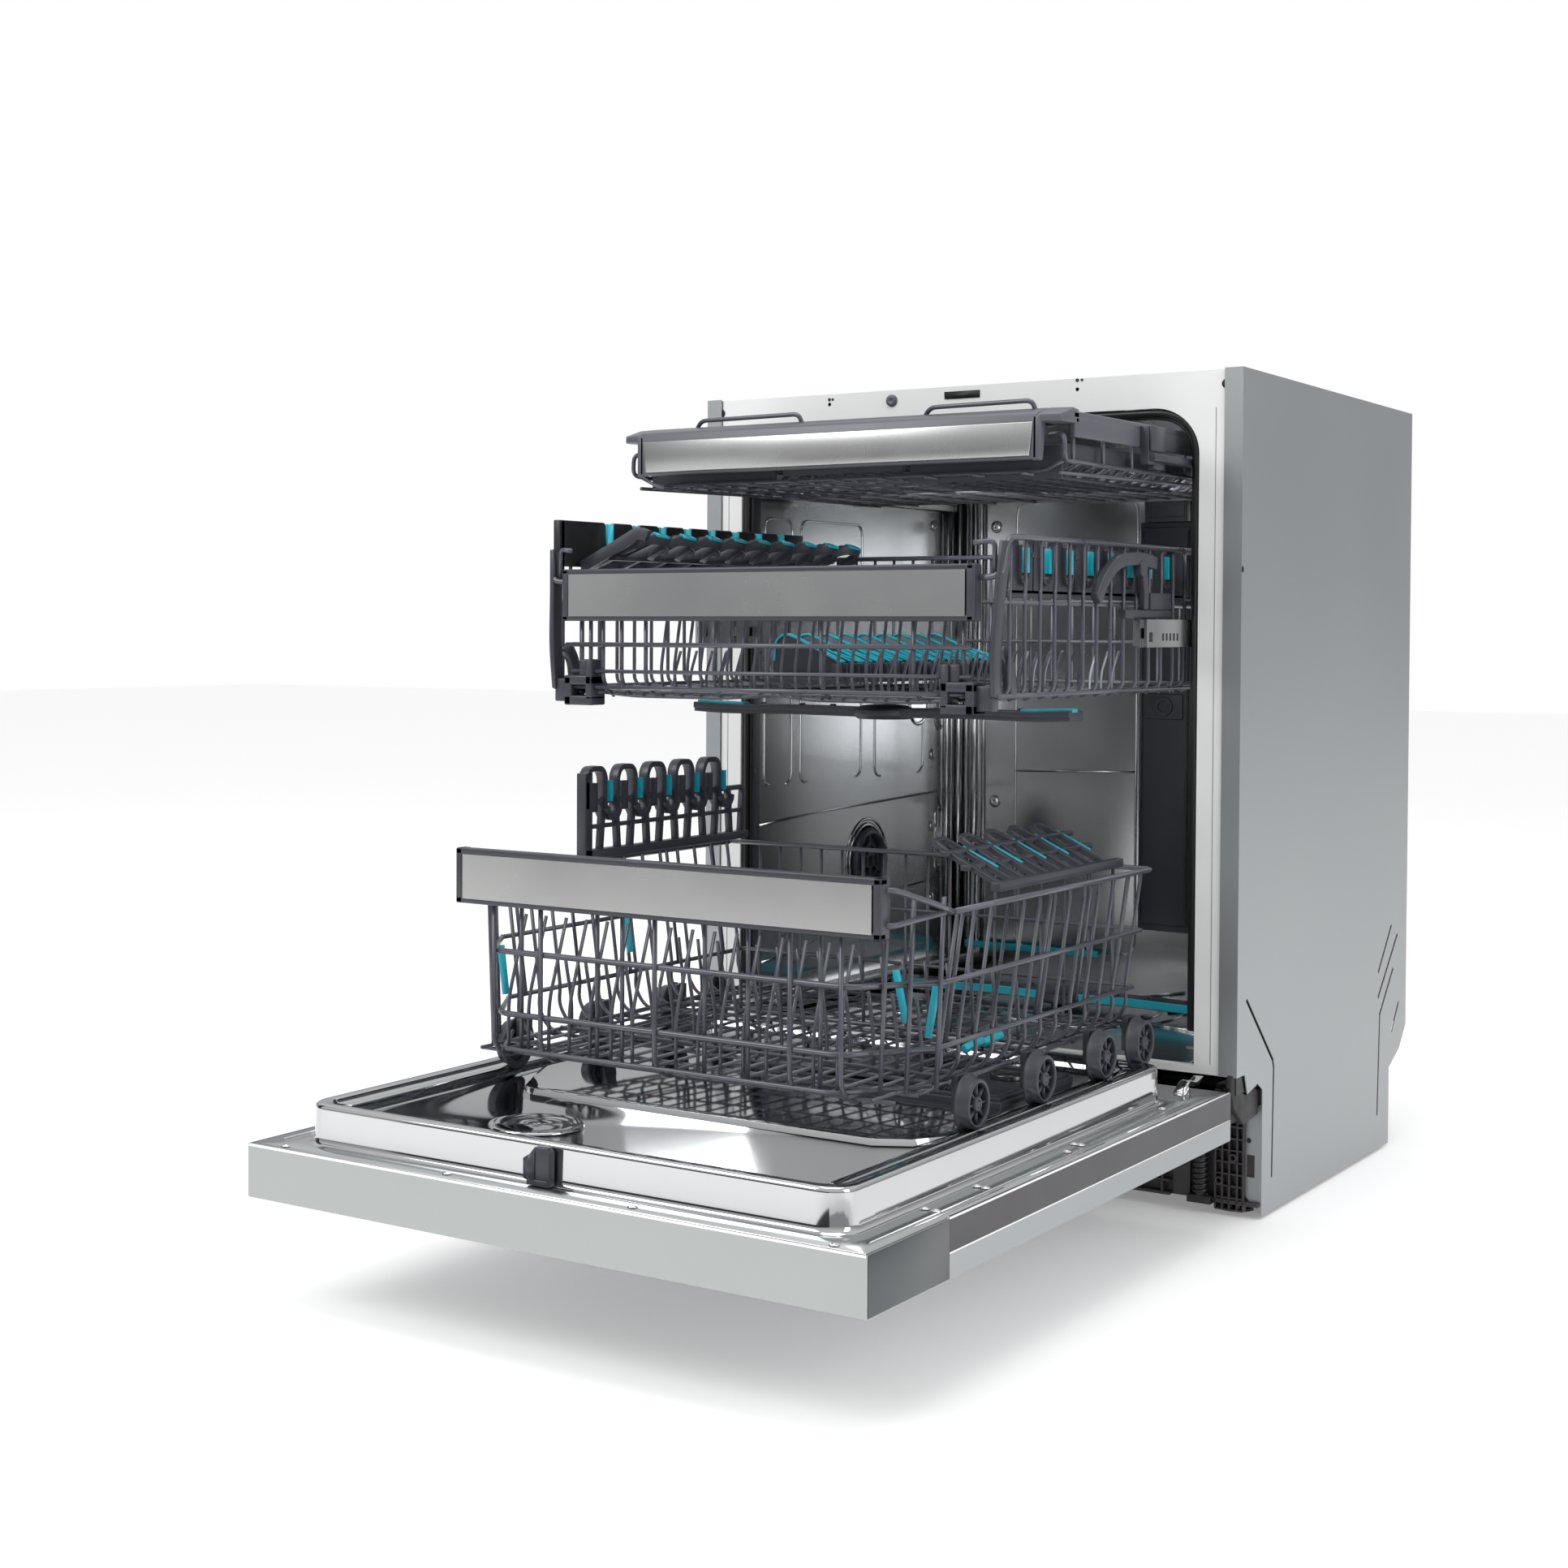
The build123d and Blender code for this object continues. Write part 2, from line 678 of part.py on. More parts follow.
with BuildPart() as lower_ends:
    low = lower_floor_z + 4
    straight = lower_half - 52
    levels = (low + 3, 237, 292, lower_top_z - 23)
    end_grid(straight + 6, lower_front + 4, 1, low, lower_top_z - 20, wire, levels, 9)
    # the front corners are cut off at an angle
    for side in (-1, 1):
        for z in levels:
            x_out = lower_half - wire / 2 - lower_taper * (lower_top_z - z) / (lower_top_z - lower_floor_z)
            start = (side * (straight - 0.5), lower_front + 4, z)
            rod(start, (side * (x_out - 1), lower_front + lower_corner, z), wire / 2)
    end_grid(lower_foot + 2, lower_back - 3, -1, low, lower_top_z, wire, (low + 3, 237, 292, lower_top_z - 2), 11)

lower_ends.part.label = "lower_ends"
export_step(lower_ends.part, "parts/lower_ends.step")


def handle(half, y, z0, z1):
    """A plastic bezel along a rack's front, with a shallow seat for its metal plate."""
    span(-half, half, y - 10, y, z0, z1)
    span(-plate_half - clear, plate_half + clear, y - 11, y - 9, z0 + 3, z1 - 3, Mode.SUBTRACT)
    span(-plate_half + 20, plate_half - 20, y - 5, y + 1, z0 + 5, z1 - 5, Mode.SUBTRACT)


handle_low = 334.0

with BuildPart() as lower_handle:
    handle(plate_half + 8, lower_front + 1.5, handle_low, handle_low + plate_height + 6)

lower_handle.part.label = "lower_handle"
export_step(lower_handle.part, "parts/lower_handle.step")


def handle_plate(y, z0, z1):
    """A brushed plate seated in a handle bezel."""
    span(-plate_half, plate_half, y - 10.5, y - 9 - 0.1, z0 + 3.3, z1 - 3.3)


with BuildPart() as lower_plate:
    handle_plate(lower_front + 1.5, handle_low, handle_low + plate_height + 6)

lower_plate.part.label = "lower_plate"
export_step(lower_plate.part, "parts/lower_plate.step")

tine_z = lower_floor_z + wire / 2 + 3


def tine_row(y, x0, x1, count, tall):
    """A folding row of plate tines on its own rod."""
    rod((x0, y, tine_z), (x1, y, tine_z), 2.5)
    xs = spread(x0 + 10, x1 - 10, count)
    bars("z", [(x, y, tine_z + tall / 2) for x in xs], 1.9, tall)


with BuildPart() as lower_tines_front:
    tine_row(-420, -190, 190, 13, 62)

lower_tines_front.part.label = "lower_tines_front"
export_step(lower_tines_front.part, "parts/lower_tines_front.step")

with BuildPart() as lower_tines_rear:
    tine_row(-230, -190, 190, 13, 62)

lower_tines_rear.part.label = "lower_tines_rear"
export_step(lower_tines_rear.part, "parts/lower_tines_rear.step")

with BuildPart() as lower_axles:
    for side in (-1, 1):
        for y in wheel_ys:
            bar("x", (side * (wheel_x - 4), y, wheel_z), wheel_pin, 17)
            span(side * (lower_foot + 5.5), side * (lower_foot + 12), y - 9, y + 9, wheel_z - 8, lower_floor_z + 14)

lower_axles.part.label = "lower_axles"
export_step(lower_axles.part, "parts/lower_axles.step")


def wheel_pair(y):
    """A left and a right wheel on one line, each with its bore."""
    for side in (-1, 1):
        centre = (side * wheel_x, y, wheel_z)
        bar("x", centre, wheel_radius, wheel_width)
        bar("x", (side * flange_x, y, wheel_z), flange_radius, flange_width)
        bar("x", centre, wheel_pin + pin_gap, 3 * wheel_width, Mode.SUBTRACT)
        bars("x", [(side * wheel_x, y + 12 * cos(a), wheel_z + 12 * sin(a)) for a in spread(0, 5 * pi / 3, 6)],
             4, 3 * wheel_width, Mode.SUBTRACT)


with BuildPart() as lower_wheels_1:
    wheel_pair(wheel_ys[0])

lower_wheels_1.part.label = "lower_wheels_1"
export_step(lower_wheels_1.part, "parts/lower_wheels_1.step")

with BuildPart() as lower_wheels_2:
    wheel_pair(wheel_ys[1])

lower_wheels_2.part.label = "lower_wheels_2"
export_step(lower_wheels_2.part, "parts/lower_wheels_2.step")

with BuildPart() as lower_wheels_3:
    wheel_pair(wheel_ys[2])

lower_wheels_3.part.label = "lower_wheels_3"
export_step(lower_wheels_3.part, "parts/lower_wheels_3.step")

with BuildPart() as lower_wheels_4:
    wheel_pair(wheel_ys[3])

lower_wheels_4.part.label = "lower_wheels_4"
export_step(lower_wheels_4.part, "parts/lower_wheels_4.step")


def cup_shelf(x, y0, y1, z, wide, lean, cups):
    """A scalloped shelf on a rod along the rack's side; lean is its angle up from lying flat."""
    step = (y1 - y0) / cups
    with BuildSketch(Plane.XY) as outline:
        with Locations((wide / 2 + 2, 0)):
            Rectangle(wide, y1 - y0)
        with Locations([(wide, y0 - (y0 + y1) / 2 + step * (i + 0.5)) for i in range(cups)]):
            SlotOverall(wide * 1.1, step * 0.5, mode=Mode.SUBTRACT)
    body = extrude(outline.sketch, amount=4, mode=Mode.PRIVATE)
    place = Location((x, front_y + (y0 + y1) / 2, z), (0, -lean, 0))
    add(place * Pos(0, 0, -2) * body)
    bar("y", (x, (y0 + y1) / 2, z), 3.5, y1 - y0)


with BuildPart() as lower_shelf_left:
    cup_shelf(-lower_foot, -360, -80, lower_top_z + 6, 78, 80, 5)

lower_shelf_left.part.label = "lower_shelf_left"
export_step(lower_shelf_left.part, "parts/lower_shelf_left.step")

with BuildPart() as lower_shelf_right:
    cup_shelf(lower_foot, -350, -84, lower_top_z + 6, 78, 150, 5)

lower_shelf_right.part.label = "lower_shelf_right"
export_step(lower_shelf_right.part, "parts/lower_shelf_right.step")

# the middle rack

with BuildPart() as mid_floor:
    floor_grid(mid_half - 16, mid_front + 8, mid_back - 8, mid_floor_z, fine_wire, 12, 8)

mid_floor.part.label = "mid_floor"
export_step(mid_floor.part, "parts/mid_floor.step")

mid_levels = spread(mid_floor_z + wire / 2, mid_top_z - wire / 2, 4)

with BuildPart() as mid_sides:
    for side in (-1, 1):
        side_grid(side, mid_half, mid_front + 4, mid_back - 4, mid_floor_z, mid_top_z, wire, mid_levels, 7)

mid_sides.part.label = "mid_sides"
export_step(mid_sides.part, "parts/mid_sides.step")

with BuildPart() as mid_ends:
    low = mid_floor_z + 4
    end_grid(mid_half - 2, mid_front + 4, 1, low, mid_top_z - 24, wire, spread(low + 2, mid_top_z - 26, 3), 13)
    end_grid(mid_half - 2, mid_back - 3, -1, low, mid_top_z, wire, spread(low + 2, mid_top_z - 2, 4), 13)

mid_ends.part.label = "mid_ends"
export_step(mid_ends.part, "parts/mid_ends.step")

mid_handle_low = 585.0

with BuildPart() as mid_handle:
    handle(plate_half + 8, mid_front + 1.5, mid_handle_low, mid_handle_low + plate_height + 6)

mid_handle.part.label = "mid_handle"
export_step(mid_handle.part, "parts/mid_handle.step")

with BuildPart() as mid_plate:
    handle_plate(mid_front + 1.5, mid_handle_low, mid_handle_low + plate_height + 6)

mid_plate.part.label = "mid_plate"
export_step(mid_plate.part, "parts/mid_plate.step")

rack_rail_x = rail_x - 2 * rail_thick - 2 * clear

with BuildPart() as mid_runners:
    for side in (-1, 1):
        rail(side, side * rack_rail_x, mid_rail_z, mid_runner_front, mid_back - 6)
        x_in = side * (rack_rail_x - rail_thick)
        for y in (mid_runner_front + 12, mid_back - 90):
            span(x_in, side * (mid_half + clear), y, y + 40, mid_rail_z - 12, mid_rail_z + 12)

mid_runners.part.label = "mid_runners"
export_step(mid_runners.part, "parts/mid_runners.step")

with BuildPart() as mid_shelf_left:
    cup_shelf(-mid_half + 10, -346, 60, mid_top_z + 6, 70, 12, 8)

mid_shelf_left.part.label = "mid_shelf_left"
export_step(mid_shelf_left.part, "parts/mid_shelf_left.step")

with BuildPart() as mid_shelf_right:
    cup_shelf(mid_half - 12, -340, 55, mid_top_z - 20, 44, 92, 8)

mid_shelf_right.part.label = "mid_shelf_right"
export_step(mid_shelf_right.part, "parts/mid_shelf_right.step")

mid_arm_y = (mid_front + mid_back) / 2

with BuildPart() as mid_spray_arm:
    spray_arm(0, mid_arm_y, mid_floor_z - 26, 0)

mid_spray_arm.part.label = "mid_spray_arm"
export_step(mid_spray_arm.part, "parts/mid_spray_arm.step")

# the cutlery tray

with BuildPart() as tray_frame:
    span(-tray_half, tray_half, tray_front, tray_back, tray_floor_z, tray_top_z)
    span(-tray_half + 8, tray_half - 8, tray_front + 16, tray_back - 8, tray_floor_z - 1, tray_top_z + 1,
         Mode.SUBTRACT)
    span(-plate_half - clear, plate_half + clear, tray_front - 1, tray_front + 1, tray_floor_z + 5,
         tray_top_z - 5, Mode.SUBTRACT)
    for side in (-1, 1):
        span(side * tray_half, side * (rail_x - rail_thick - 1), tray_front + 180, tray_back - 4,
             tray_rail_z - 4, tray_rail_z + 4)

tray_frame.part.label = "tray_frame"
export_step(tray_frame.part, "parts/tray_frame.step")

with BuildPart() as tray_plate:
    span(-plate_half, plate_half, tray_front - 0.5, tray_front + 0.9, tray_floor_z + 5.3, tray_top_z - 5.3)

tray_plate.part.label = "tray_plate"
export_step(tray_plate.part, "parts/tray_plate.step")

with BuildPart() as tray_inserts:
    for x0, x1 in ((-tray_half + 8.3, -4), (4, tray_half - 8.3)):
        span(x0, x1, tray_front + 16.3, tray_back - 8.3, tray_floor_z + 4, tray_floor_z + 7)
        for y in spread(tray_front + 40, tray_back - 34, 12):
            span(x0 + 10, x1 - 10, y - 6, y + 6, tray_floor_z + 3, tray_floor_z + 8, Mode.SUBTRACT)

tray_inserts.part.label = "tray_inserts"
export_step(tray_inserts.part, "parts/tray_inserts.step")
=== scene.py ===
import math

import bpy
import bmesh
from mathutils import Matrix, Vector


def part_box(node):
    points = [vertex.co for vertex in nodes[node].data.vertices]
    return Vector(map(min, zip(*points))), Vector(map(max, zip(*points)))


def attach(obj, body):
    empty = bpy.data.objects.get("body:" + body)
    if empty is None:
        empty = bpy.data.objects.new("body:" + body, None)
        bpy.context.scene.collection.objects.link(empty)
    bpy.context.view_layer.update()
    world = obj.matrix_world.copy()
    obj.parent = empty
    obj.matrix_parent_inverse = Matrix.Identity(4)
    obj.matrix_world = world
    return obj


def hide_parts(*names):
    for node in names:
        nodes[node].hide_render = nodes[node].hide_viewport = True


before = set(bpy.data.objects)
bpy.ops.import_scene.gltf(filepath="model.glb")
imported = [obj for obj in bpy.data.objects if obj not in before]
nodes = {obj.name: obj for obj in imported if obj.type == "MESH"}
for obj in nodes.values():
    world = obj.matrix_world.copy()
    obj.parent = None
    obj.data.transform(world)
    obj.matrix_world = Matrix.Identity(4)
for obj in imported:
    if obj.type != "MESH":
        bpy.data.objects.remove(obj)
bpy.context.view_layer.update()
FRAME_LIP = 0.002
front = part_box("front_frame")[0].y - FRAME_LIP
pi = math.pi
HERE = Vector((0, 0, 0))


def at(x, y, z):
    """A point from millimetres, with Y measured from the cabinet's front face."""
    return Vector((x / 1000, front + y / 1000, z / 1000))


def spread(first, last, count):
    """Evenly spaced values from first to last."""
    return [first + (last - first) * i / (count - 1) for i in range(count)]


# ---------------------------------------------------------------- materials


def material(name, color, metallic=0.0, rough=0.4, coat=0.0, vary=0.06, scale=40.0, bump=0.0,
             bump_scale=400.0):
    """A surface with mottled colour, uneven roughness and a fine relief."""
    mat = bpy.data.materials.new(name)
    mat.use_nodes = True
    nt = mat.node_tree
    shader = nt.nodes["Principled BSDF"]
    shader.inputs["Metallic"].default_value = metallic
    shader.inputs["Coat Weight"].default_value = coat
    place = nt.nodes.new("ShaderNodeTexCoord")
    cloud = nt.nodes.new("ShaderNodeTexNoise")
    cloud.inputs["Scale"].default_value = scale
    cloud.inputs["Detail"].default_value = 4
    nt.links.new(place.outputs["Object"], cloud.inputs["Vector"])
    ramp = nt.nodes.new("ShaderNodeMapRange")
    ramp.inputs["To Min"].default_value = max(rough * (1 - 3 * vary), 0.01)
    ramp.inputs["To Max"].default_value = min(rough * (1 + 3 * vary), 1)
    nt.links.new(cloud.outputs["Fac"], ramp.inputs["Value"])
    nt.links.new(ramp.outputs["Result"], shader.inputs["Roughness"])
    tint = nt.nodes.new("ShaderNodeMix")
    tint.data_type = "RGBA"
    tint.inputs["A"].default_value = (*[c * (1 - vary) for c in color], 1)
    tint.inputs["B"].default_value = (*[min(c * (1 + vary), 1) for c in color], 1)
    nt.links.new(cloud.outputs["Fac"], tint.inputs["Factor"])
    nt.links.new(tint.outputs["Result"], shader.inputs["Base Color"])
    if bump:
        grain = nt.nodes.new("ShaderNodeTexNoise")
        grain.inputs["Scale"].default_value = bump_scale
        grain.inputs["Detail"].default_value = 3
        nt.links.new(place.outputs["Object"], grain.inputs["Vector"])
        relief = nt.nodes.new("ShaderNodeBump")
        relief.inputs["Strength"].default_value = bump
        relief.inputs["Distance"].default_value = 0.0004
        nt.links.new(grain.outputs["Fac"], relief.inputs["Height"])
        nt.links.new(relief.outputs["Normal"], shader.inputs["Normal"])
    return mat


def brushed(name, color, rough=0.28, axis=0, strength=0.12, tall=900.0, stretch=0.01):
    """Brushed metal: fine lines drawn out along one axis."""
    mat = material(name, color, metallic=1.0, rough=rough, vary=0.05, scale=12)
    nt = mat.node_tree
    shader = nt.nodes["Principled BSDF"]
    place = nt.nodes["Texture Coordinate"]
    stretchy = nt.nodes.new("ShaderNodeMapping")
    size = [tall, tall, tall]
    size[axis] = tall * stretch
    stretchy.inputs["Scale"].default_value = size
    nt.links.new(place.outputs["Object"], stretchy.inputs["Vector"])
    lines = nt.nodes.new("ShaderNodeTexNoise")
    lines.inputs["Scale"].default_value = 1.0
    lines.inputs["Detail"].default_value = 3
    nt.links.new(stretchy.outputs["Vector"], lines.inputs["Vector"])
    relief = nt.nodes.new("ShaderNodeBump")
    relief.inputs["Strength"].default_value = strength
    relief.inputs["Distance"].default_value = 0.0003
    nt.links.new(lines.outputs["Fac"], relief.inputs["Height"])
    nt.links.new(relief.outputs["Normal"], shader.inputs["Normal"])
    shade = nt.nodes.new("ShaderNodeMix")
    shade.data_type = "RGBA"
    shade.blend_type = "MULTIPLY"
    shade.inputs["Factor"].default_value = 0.25
    old = shader.inputs["Base Color"].links[0].from_socket
    nt.links.new(old, shade.inputs["A"])
    nt.links.new(lines.outputs["Color"], shade.inputs["B"])
    return mat


tub_steel = brushed("tub_steel", (0.55, 0.56, 0.57), rough=0.18, axis=1, strength=0.004, tall=300.0)
liner_steel = material("liner_steel", (0.52, 0.53, 0.54), metallic=1, rough=0.06, vary=0.05, scale=8)
flange_steel = brushed("flange_steel", (0.50, 0.52, 0.52), rough=0.25, axis=1, strength=0.02, tall=500.0)
panel_paint = material("panel_paint", (0.36, 0.375, 0.385), metallic=0.8, rough=0.40, vary=0.05, scale=3,
                       bump=0.06)
frame_paint = material("frame_paint", (0.74, 0.75, 0.74), rough=0.42, vary=0.03, scale=6, bump=0.05)
fascia_steel = brushed("fascia_steel", (0.37, 0.39, 0.385), rough=0.3, axis=0, strength=0.015, tall=500.0,
                       stretch=0.004)
plate_steel = brushed("plate_steel", (0.52, 0.52, 0.515), rough=0.27, axis=0, strength=0.02, tall=500.0,
                      stretch=0.004)
rail_steel = brushed("rail_steel", (0.50, 0.51, 0.52), rough=0.25, axis=1)
chrome = material("chrome", (0.8, 0.8, 0.8), metallic=1, rough=0.12, vary=0.05)
wire_coat = material("wire_coat", (0.060, 0.064, 0.082), rough=0.3, coat=0.3, vary=0.08, scale=60, bump=0.08)
slate = material("slate", (0.034, 0.037, 0.048), rough=0.38, vary=0.08, scale=50, bump=0.12, bump_scale=900)
slate_light = material("slate_light", (0.085, 0.088, 0.105), rough=0.36, vary=0.05, scale=40, bump=0.08)
teal = material("teal", (0.0, 0.36, 0.46), rough=0.34, coat=0.15, vary=0.08, scale=50, bump=0.06)
base_plastic = material("base_plastic", (0.040, 0.035, 0.038), rough=0.45, vary=0.1, scale=30, bump=0.2)
black_plastic = material("black_plastic", (0.012, 0.012, 0.014), rough=0.32, vary=0.1, scale=50, bump=0.08)
rubber = material("rubber", (0.010, 0.010, 0.011), rough=0.42, vary=0.15, scale=80, bump=0.15)
trim_dark = material("trim_dark", (0.030, 0.028, 0.034), rough=0.4, vary=0.06, scale=20, bump=0.08)
# a darker copy of the fascia's brushed steel, laid on the fascia's end faces: painted shade
fascia_end_shade_steel = brushed("fascia_end_shade_steel", (0.10, 0.108, 0.112), rough=0.34, axis=1, strength=0.04)
gloss_dark = material("gloss_dark", (0.020, 0.021, 0.024), rough=0.18, coat=0.4, vary=0.08, scale=40,
                      bump=0.03)
cover_black = material("cover_black", (0.008, 0.008, 0.009), rough=0.55, vary=0.12, scale=60, bump=0.1)
slot_black = material("slot_black", (0.004, 0.004, 0.004), rough=0.6, vary=0.2, scale=60)
cast = material("cast", (0.08, 0.08, 0.085), rough=0.6, vary=0.2, scale=60, bump=0.4)


def glowing(name, strength):
    """A lit plastic or glass face."""
    mat = material(name, (0.9, 0.95, 1.0), rough=0.3)
    shader = mat.node_tree.nodes["Principled BSDF"]
    shader.inputs["Emission Color"].default_value = (0.92, 0.96, 1.0, 1)
    shader.inputs["Emission Strength"].default_value = strength
    return mat


lamp_lens = glowing("lamp_lens", 14.0)
port_lens = glowing("port_lens", 0.9)

dress = {
    tub_steel: ["tub_shell", "filter_plate"],
    panel_paint: ["side_panel_left", "side_panel_right", "rear_panel", "door_panel", "plinth_brackets"],
    frame_paint: ["front_frame"],
    fascia_steel: ["fascia"],
    plate_steel: ["lower_plate", "mid_plate", "tray_plate"],
    rail_steel: ["rack_rails", "rail_slides", "mid_runners"],
    black_plastic: ["hinge_brackets", "hinge_arms", "fan_vent", "feet", "sump", "circulation_pump",
                    "drain_pump",
                    "inlet_valve", "door_latch"],
    cast: ["counterweight"],
    base_plastic: ["base_pan", "top_cover"],
    trim_dark: ["door_side_trims"],
    rubber: ["tub_gasket"],
    lamp_lens: ["ceiling_lamps"],
    wire_coat: ["lower_floor", "lower_sides", "lower_ends", "lower_tines_front", "lower_tines_rear",
                "mid_floor",
                "mid_sides", "mid_ends"],
    slate: ["lower_handle", "mid_handle", "lower_shelf_left", "lower_shelf_right", "mid_shelf_left",
            "mid_shelf_right", "lower_axles", "lower_wheels_1", "lower_wheels_2", "lower_wheels_3",
            "lower_wheels_4", "tray_frame", "tray_inserts", "lower_spray_arm", "mid_spray_arm", "feed_duct"],
    gloss_dark: ["dispenser_body", "dispenser_lid", "rinse_cap"],
    chrome: ["power_button", "start_button"],
    flange_steel: ["door_liner"],
}
for mat, names in dress.items():
    for name in names:
        nodes[name].data.materials.clear()
        nodes[name].data.materials.append(mat)

# ---------------------------------------------------------------- geometry


class Shape:
    """Gathers simple solids into one mesh."""

    def __init__(self):
        self.verts = []
        self.faces = []
        self.tags = []

    def put(self, verts, faces, tag=0):
        """Adds corners and faces to the shape."""
        base = len(self.verts)
        self.verts += [Vector(v) for v in verts]
        self.faces += [tuple(base + i for i in f) for f in faces]
        self.tags += [tag] * len(faces)
        return self

    def box(self, x0, x1, y0, y1, z0, z1, tag=0):
        """A box from millimetre corners."""
        xs, ys, zs = sorted((x0, x1)), sorted((y0, y1)), sorted((z0, z1))
        verts = [at(x, y, z) for z in zs for y in ys for x in xs]
        faces = [(0, 2, 3, 1), (4, 5, 7, 6), (0, 1, 5, 4), (1, 3, 7, 5), (3, 2, 6, 7), (2, 0, 4, 6)]
        return self.put(verts, faces, tag)

    def prism(self, outline, start, end, tag=0):
        """A flat outline of points swept from start to end offsets."""
        n = len(outline)
        verts = [p + start for p in outline] + [p + end for p in outline]
        faces = [tuple(range(n))[::-1], tuple(range(n, 2 * n))]
        faces += [(i, (i + 1) % n, n + (i + 1) % n, n + i) for i in range(n)]
        return self.put(verts, faces, tag)

    def ring(self, centre, axis, profile, count=32, tag=0):
        """A turned part: profile is (radius, offset along axis) in millimetres, closed on itself."""
        axis = Vector(axis).normalized()
        side = axis.orthogonal().normalized()
        other = axis.cross(side)
        verts, faces = [], []
        m = len(profile)
        for i in range(count):
            a = 2 * pi * i / count
            out = side * math.cos(a) + other * math.sin(a)
            verts += [centre + (out * r + axis * t) / 1000 for r, t in profile]
        for i in range(count):
            for j in range(m):
                a, b = i * m + j, i * m + (j + 1) % m
                c, d = ((i + 1) % count) * m + (j + 1) % m, ((i + 1) % count) * m + j
                faces.append((a, b, c, d))
        return self.put(verts, faces, tag)

    def disc(self, centre, axis, radius, thick, count=24, tag=0):
        """A closed round plate."""
        return self.wire([centre, centre + Vector(axis).normalized() * thick / 1000], radius, count, tag)

    def wire(self, points, radius, count=8, tag=0, loop=False):
        """A round wire through points, in metres, with its radius in millimetres."""
        pts = [Vector(p) for p in points]
        n = len(pts)
        r = radius / 1000
        verts, faces = [], []
        side = None
        for i, p in enumerate(pts):
            before = pts[i - 1] if i or loop else pts[0]
            after = pts[(i + 1) % n] if i < n - 1 or loop else pts[-1]
            run = (after - before).normalized()
            if side is None:
                side = run.orthogonal().normalized()
            side = (side - run * side.dot(run)).normalized()
            other = run.cross(side)
            widen = 1.0
            if 0 < i < n - 1 or loop:
                a, b = (p - before).normalized(), (after - p).normalized()
                widen = 1 / max(math.sqrt(max((1 + a.dot(b)) / 2, 0.3)), 0.6)
            for k in range(count):
                t = 2 * pi * k / count
                verts.append(p + (side * math.cos(t) + other * math.sin(t)) * r * (1 + (widen - 1) * 0.6))
        last = n if loop else n - 1
        for i in range(last):
            j = (i + 1) % n
            for k in range(count):
                m = (k + 1) % count
                faces.append((i * count + k, i * count + m, j * count + m, j * count + k))
        if not loop:
            faces.append(tuple(range(count))[::-1])
            faces.append(tuple((n - 1) * count + k for k in range(count)))
        return self.put(verts, faces, tag)

    def make(self, name, mats, body, replaces=(), slot=None, bevel=0.0, segments=2, smooth=True):
        """Turns the shape into one piece that rides on a body."""
        mesh = bpy.data.meshes.new(name)
        mesh.from_pydata([tuple(v) for v in self.verts], [], self.faces)
        for mat in mats if isinstance(mats, (list, tuple)) else [mats]:
            mesh.materials.append(mat)
        for polygon, tag in zip(mesh.polygons, self.tags):
            polygon.material_index = tag
        work = bmesh.new()
        work.from_mesh(mesh)
        bmesh.ops.recalc_face_normals(work, faces=work.faces)
        work.to_mesh(mesh)
        work.free()
        piece = bpy.data.objects.new(name, mesh)
        bpy.context.scene.collection.objects.link(piece)
        if bevel:
            edge = piece.modifiers.new("edges", "BEVEL")
            edge.width = bevel / 1000
            edge.segments = segments
            edge.limit_method = "ANGLE"
            edge.angle_limit = math.radians(40)
            edge.harden_normals = False
        if smooth:
            mesh.shade_auto(math.radians(40)) if hasattr(mesh, "shade_auto") else mesh.shade_smooth()
        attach(piece, body)
        if replaces:
            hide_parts(*replaces)
        return piece


def bend(points, radius, steps=4):
    """Rounds the corners of a path of points."""
    pts = [Vector(p) for p in points]
    out = [pts[0]]
    for a, b, c in zip(pts, pts[1:], pts[2:]):
        r = min(radius / 1000, (a - b).length / 2.1, (c - b).length / 2.1)
        p, q = b + (a - b).normalized() * r, b + (c - b).normalized() * r
        for i in range(steps + 1):
            t = i / steps
            out.append(p * (1 - t) ** 2 + b * 2 * t * (1 - t) + q * t * t)
    return out + [pts[-1]]


# ---------------------------------------------------------------- lower basket

FRONT, BACK = -541, -58
LOWER_PLATE_Y = -553.5
HANDLE_HALF = 212
LEVELS = (202, 237, 292, 350)


def strap(shape, points, axis, wide, thick, tag=0, loop=False):
    """A flat band swept along a path: wide across the given axis, thick within the path's plane."""
    pts = [Vector(p) for p in points]
    axis = Vector(axis).normalized()
    n = len(pts)
    verts, faces = [], []
    for i, p in enumerate(pts):
        before = pts[i - 1] if i or loop else pts[0]
        after = pts[(i + 1) % n] if i < n - 1 or loop else pts[-1]
        run = (after - before).normalized()
        out = axis.cross(run).normalized() * thick / 2000
        flat = axis * wide / 2000
        verts += [p - flat - out, p + flat - out, p + flat + out, p - flat + out]
    for i in range(n if loop else n - 1):
        j = (i + 1) % n
        for k in range(4):
            m = (k + 1) % 4
            faces.append((i * 4 + k, i * 4 + m, j * 4 + m, j * 4 + k))
    if not loop:
        faces += [(3, 2, 1, 0), tuple((n - 1) * 4 + k for k in range(4))]
    return shape.put(verts, faces, tag)


def lower_x(z):
    """Half the basket's width at a height: it narrows towards the floor."""
    return 234 - 22 * (352 - z) / 152


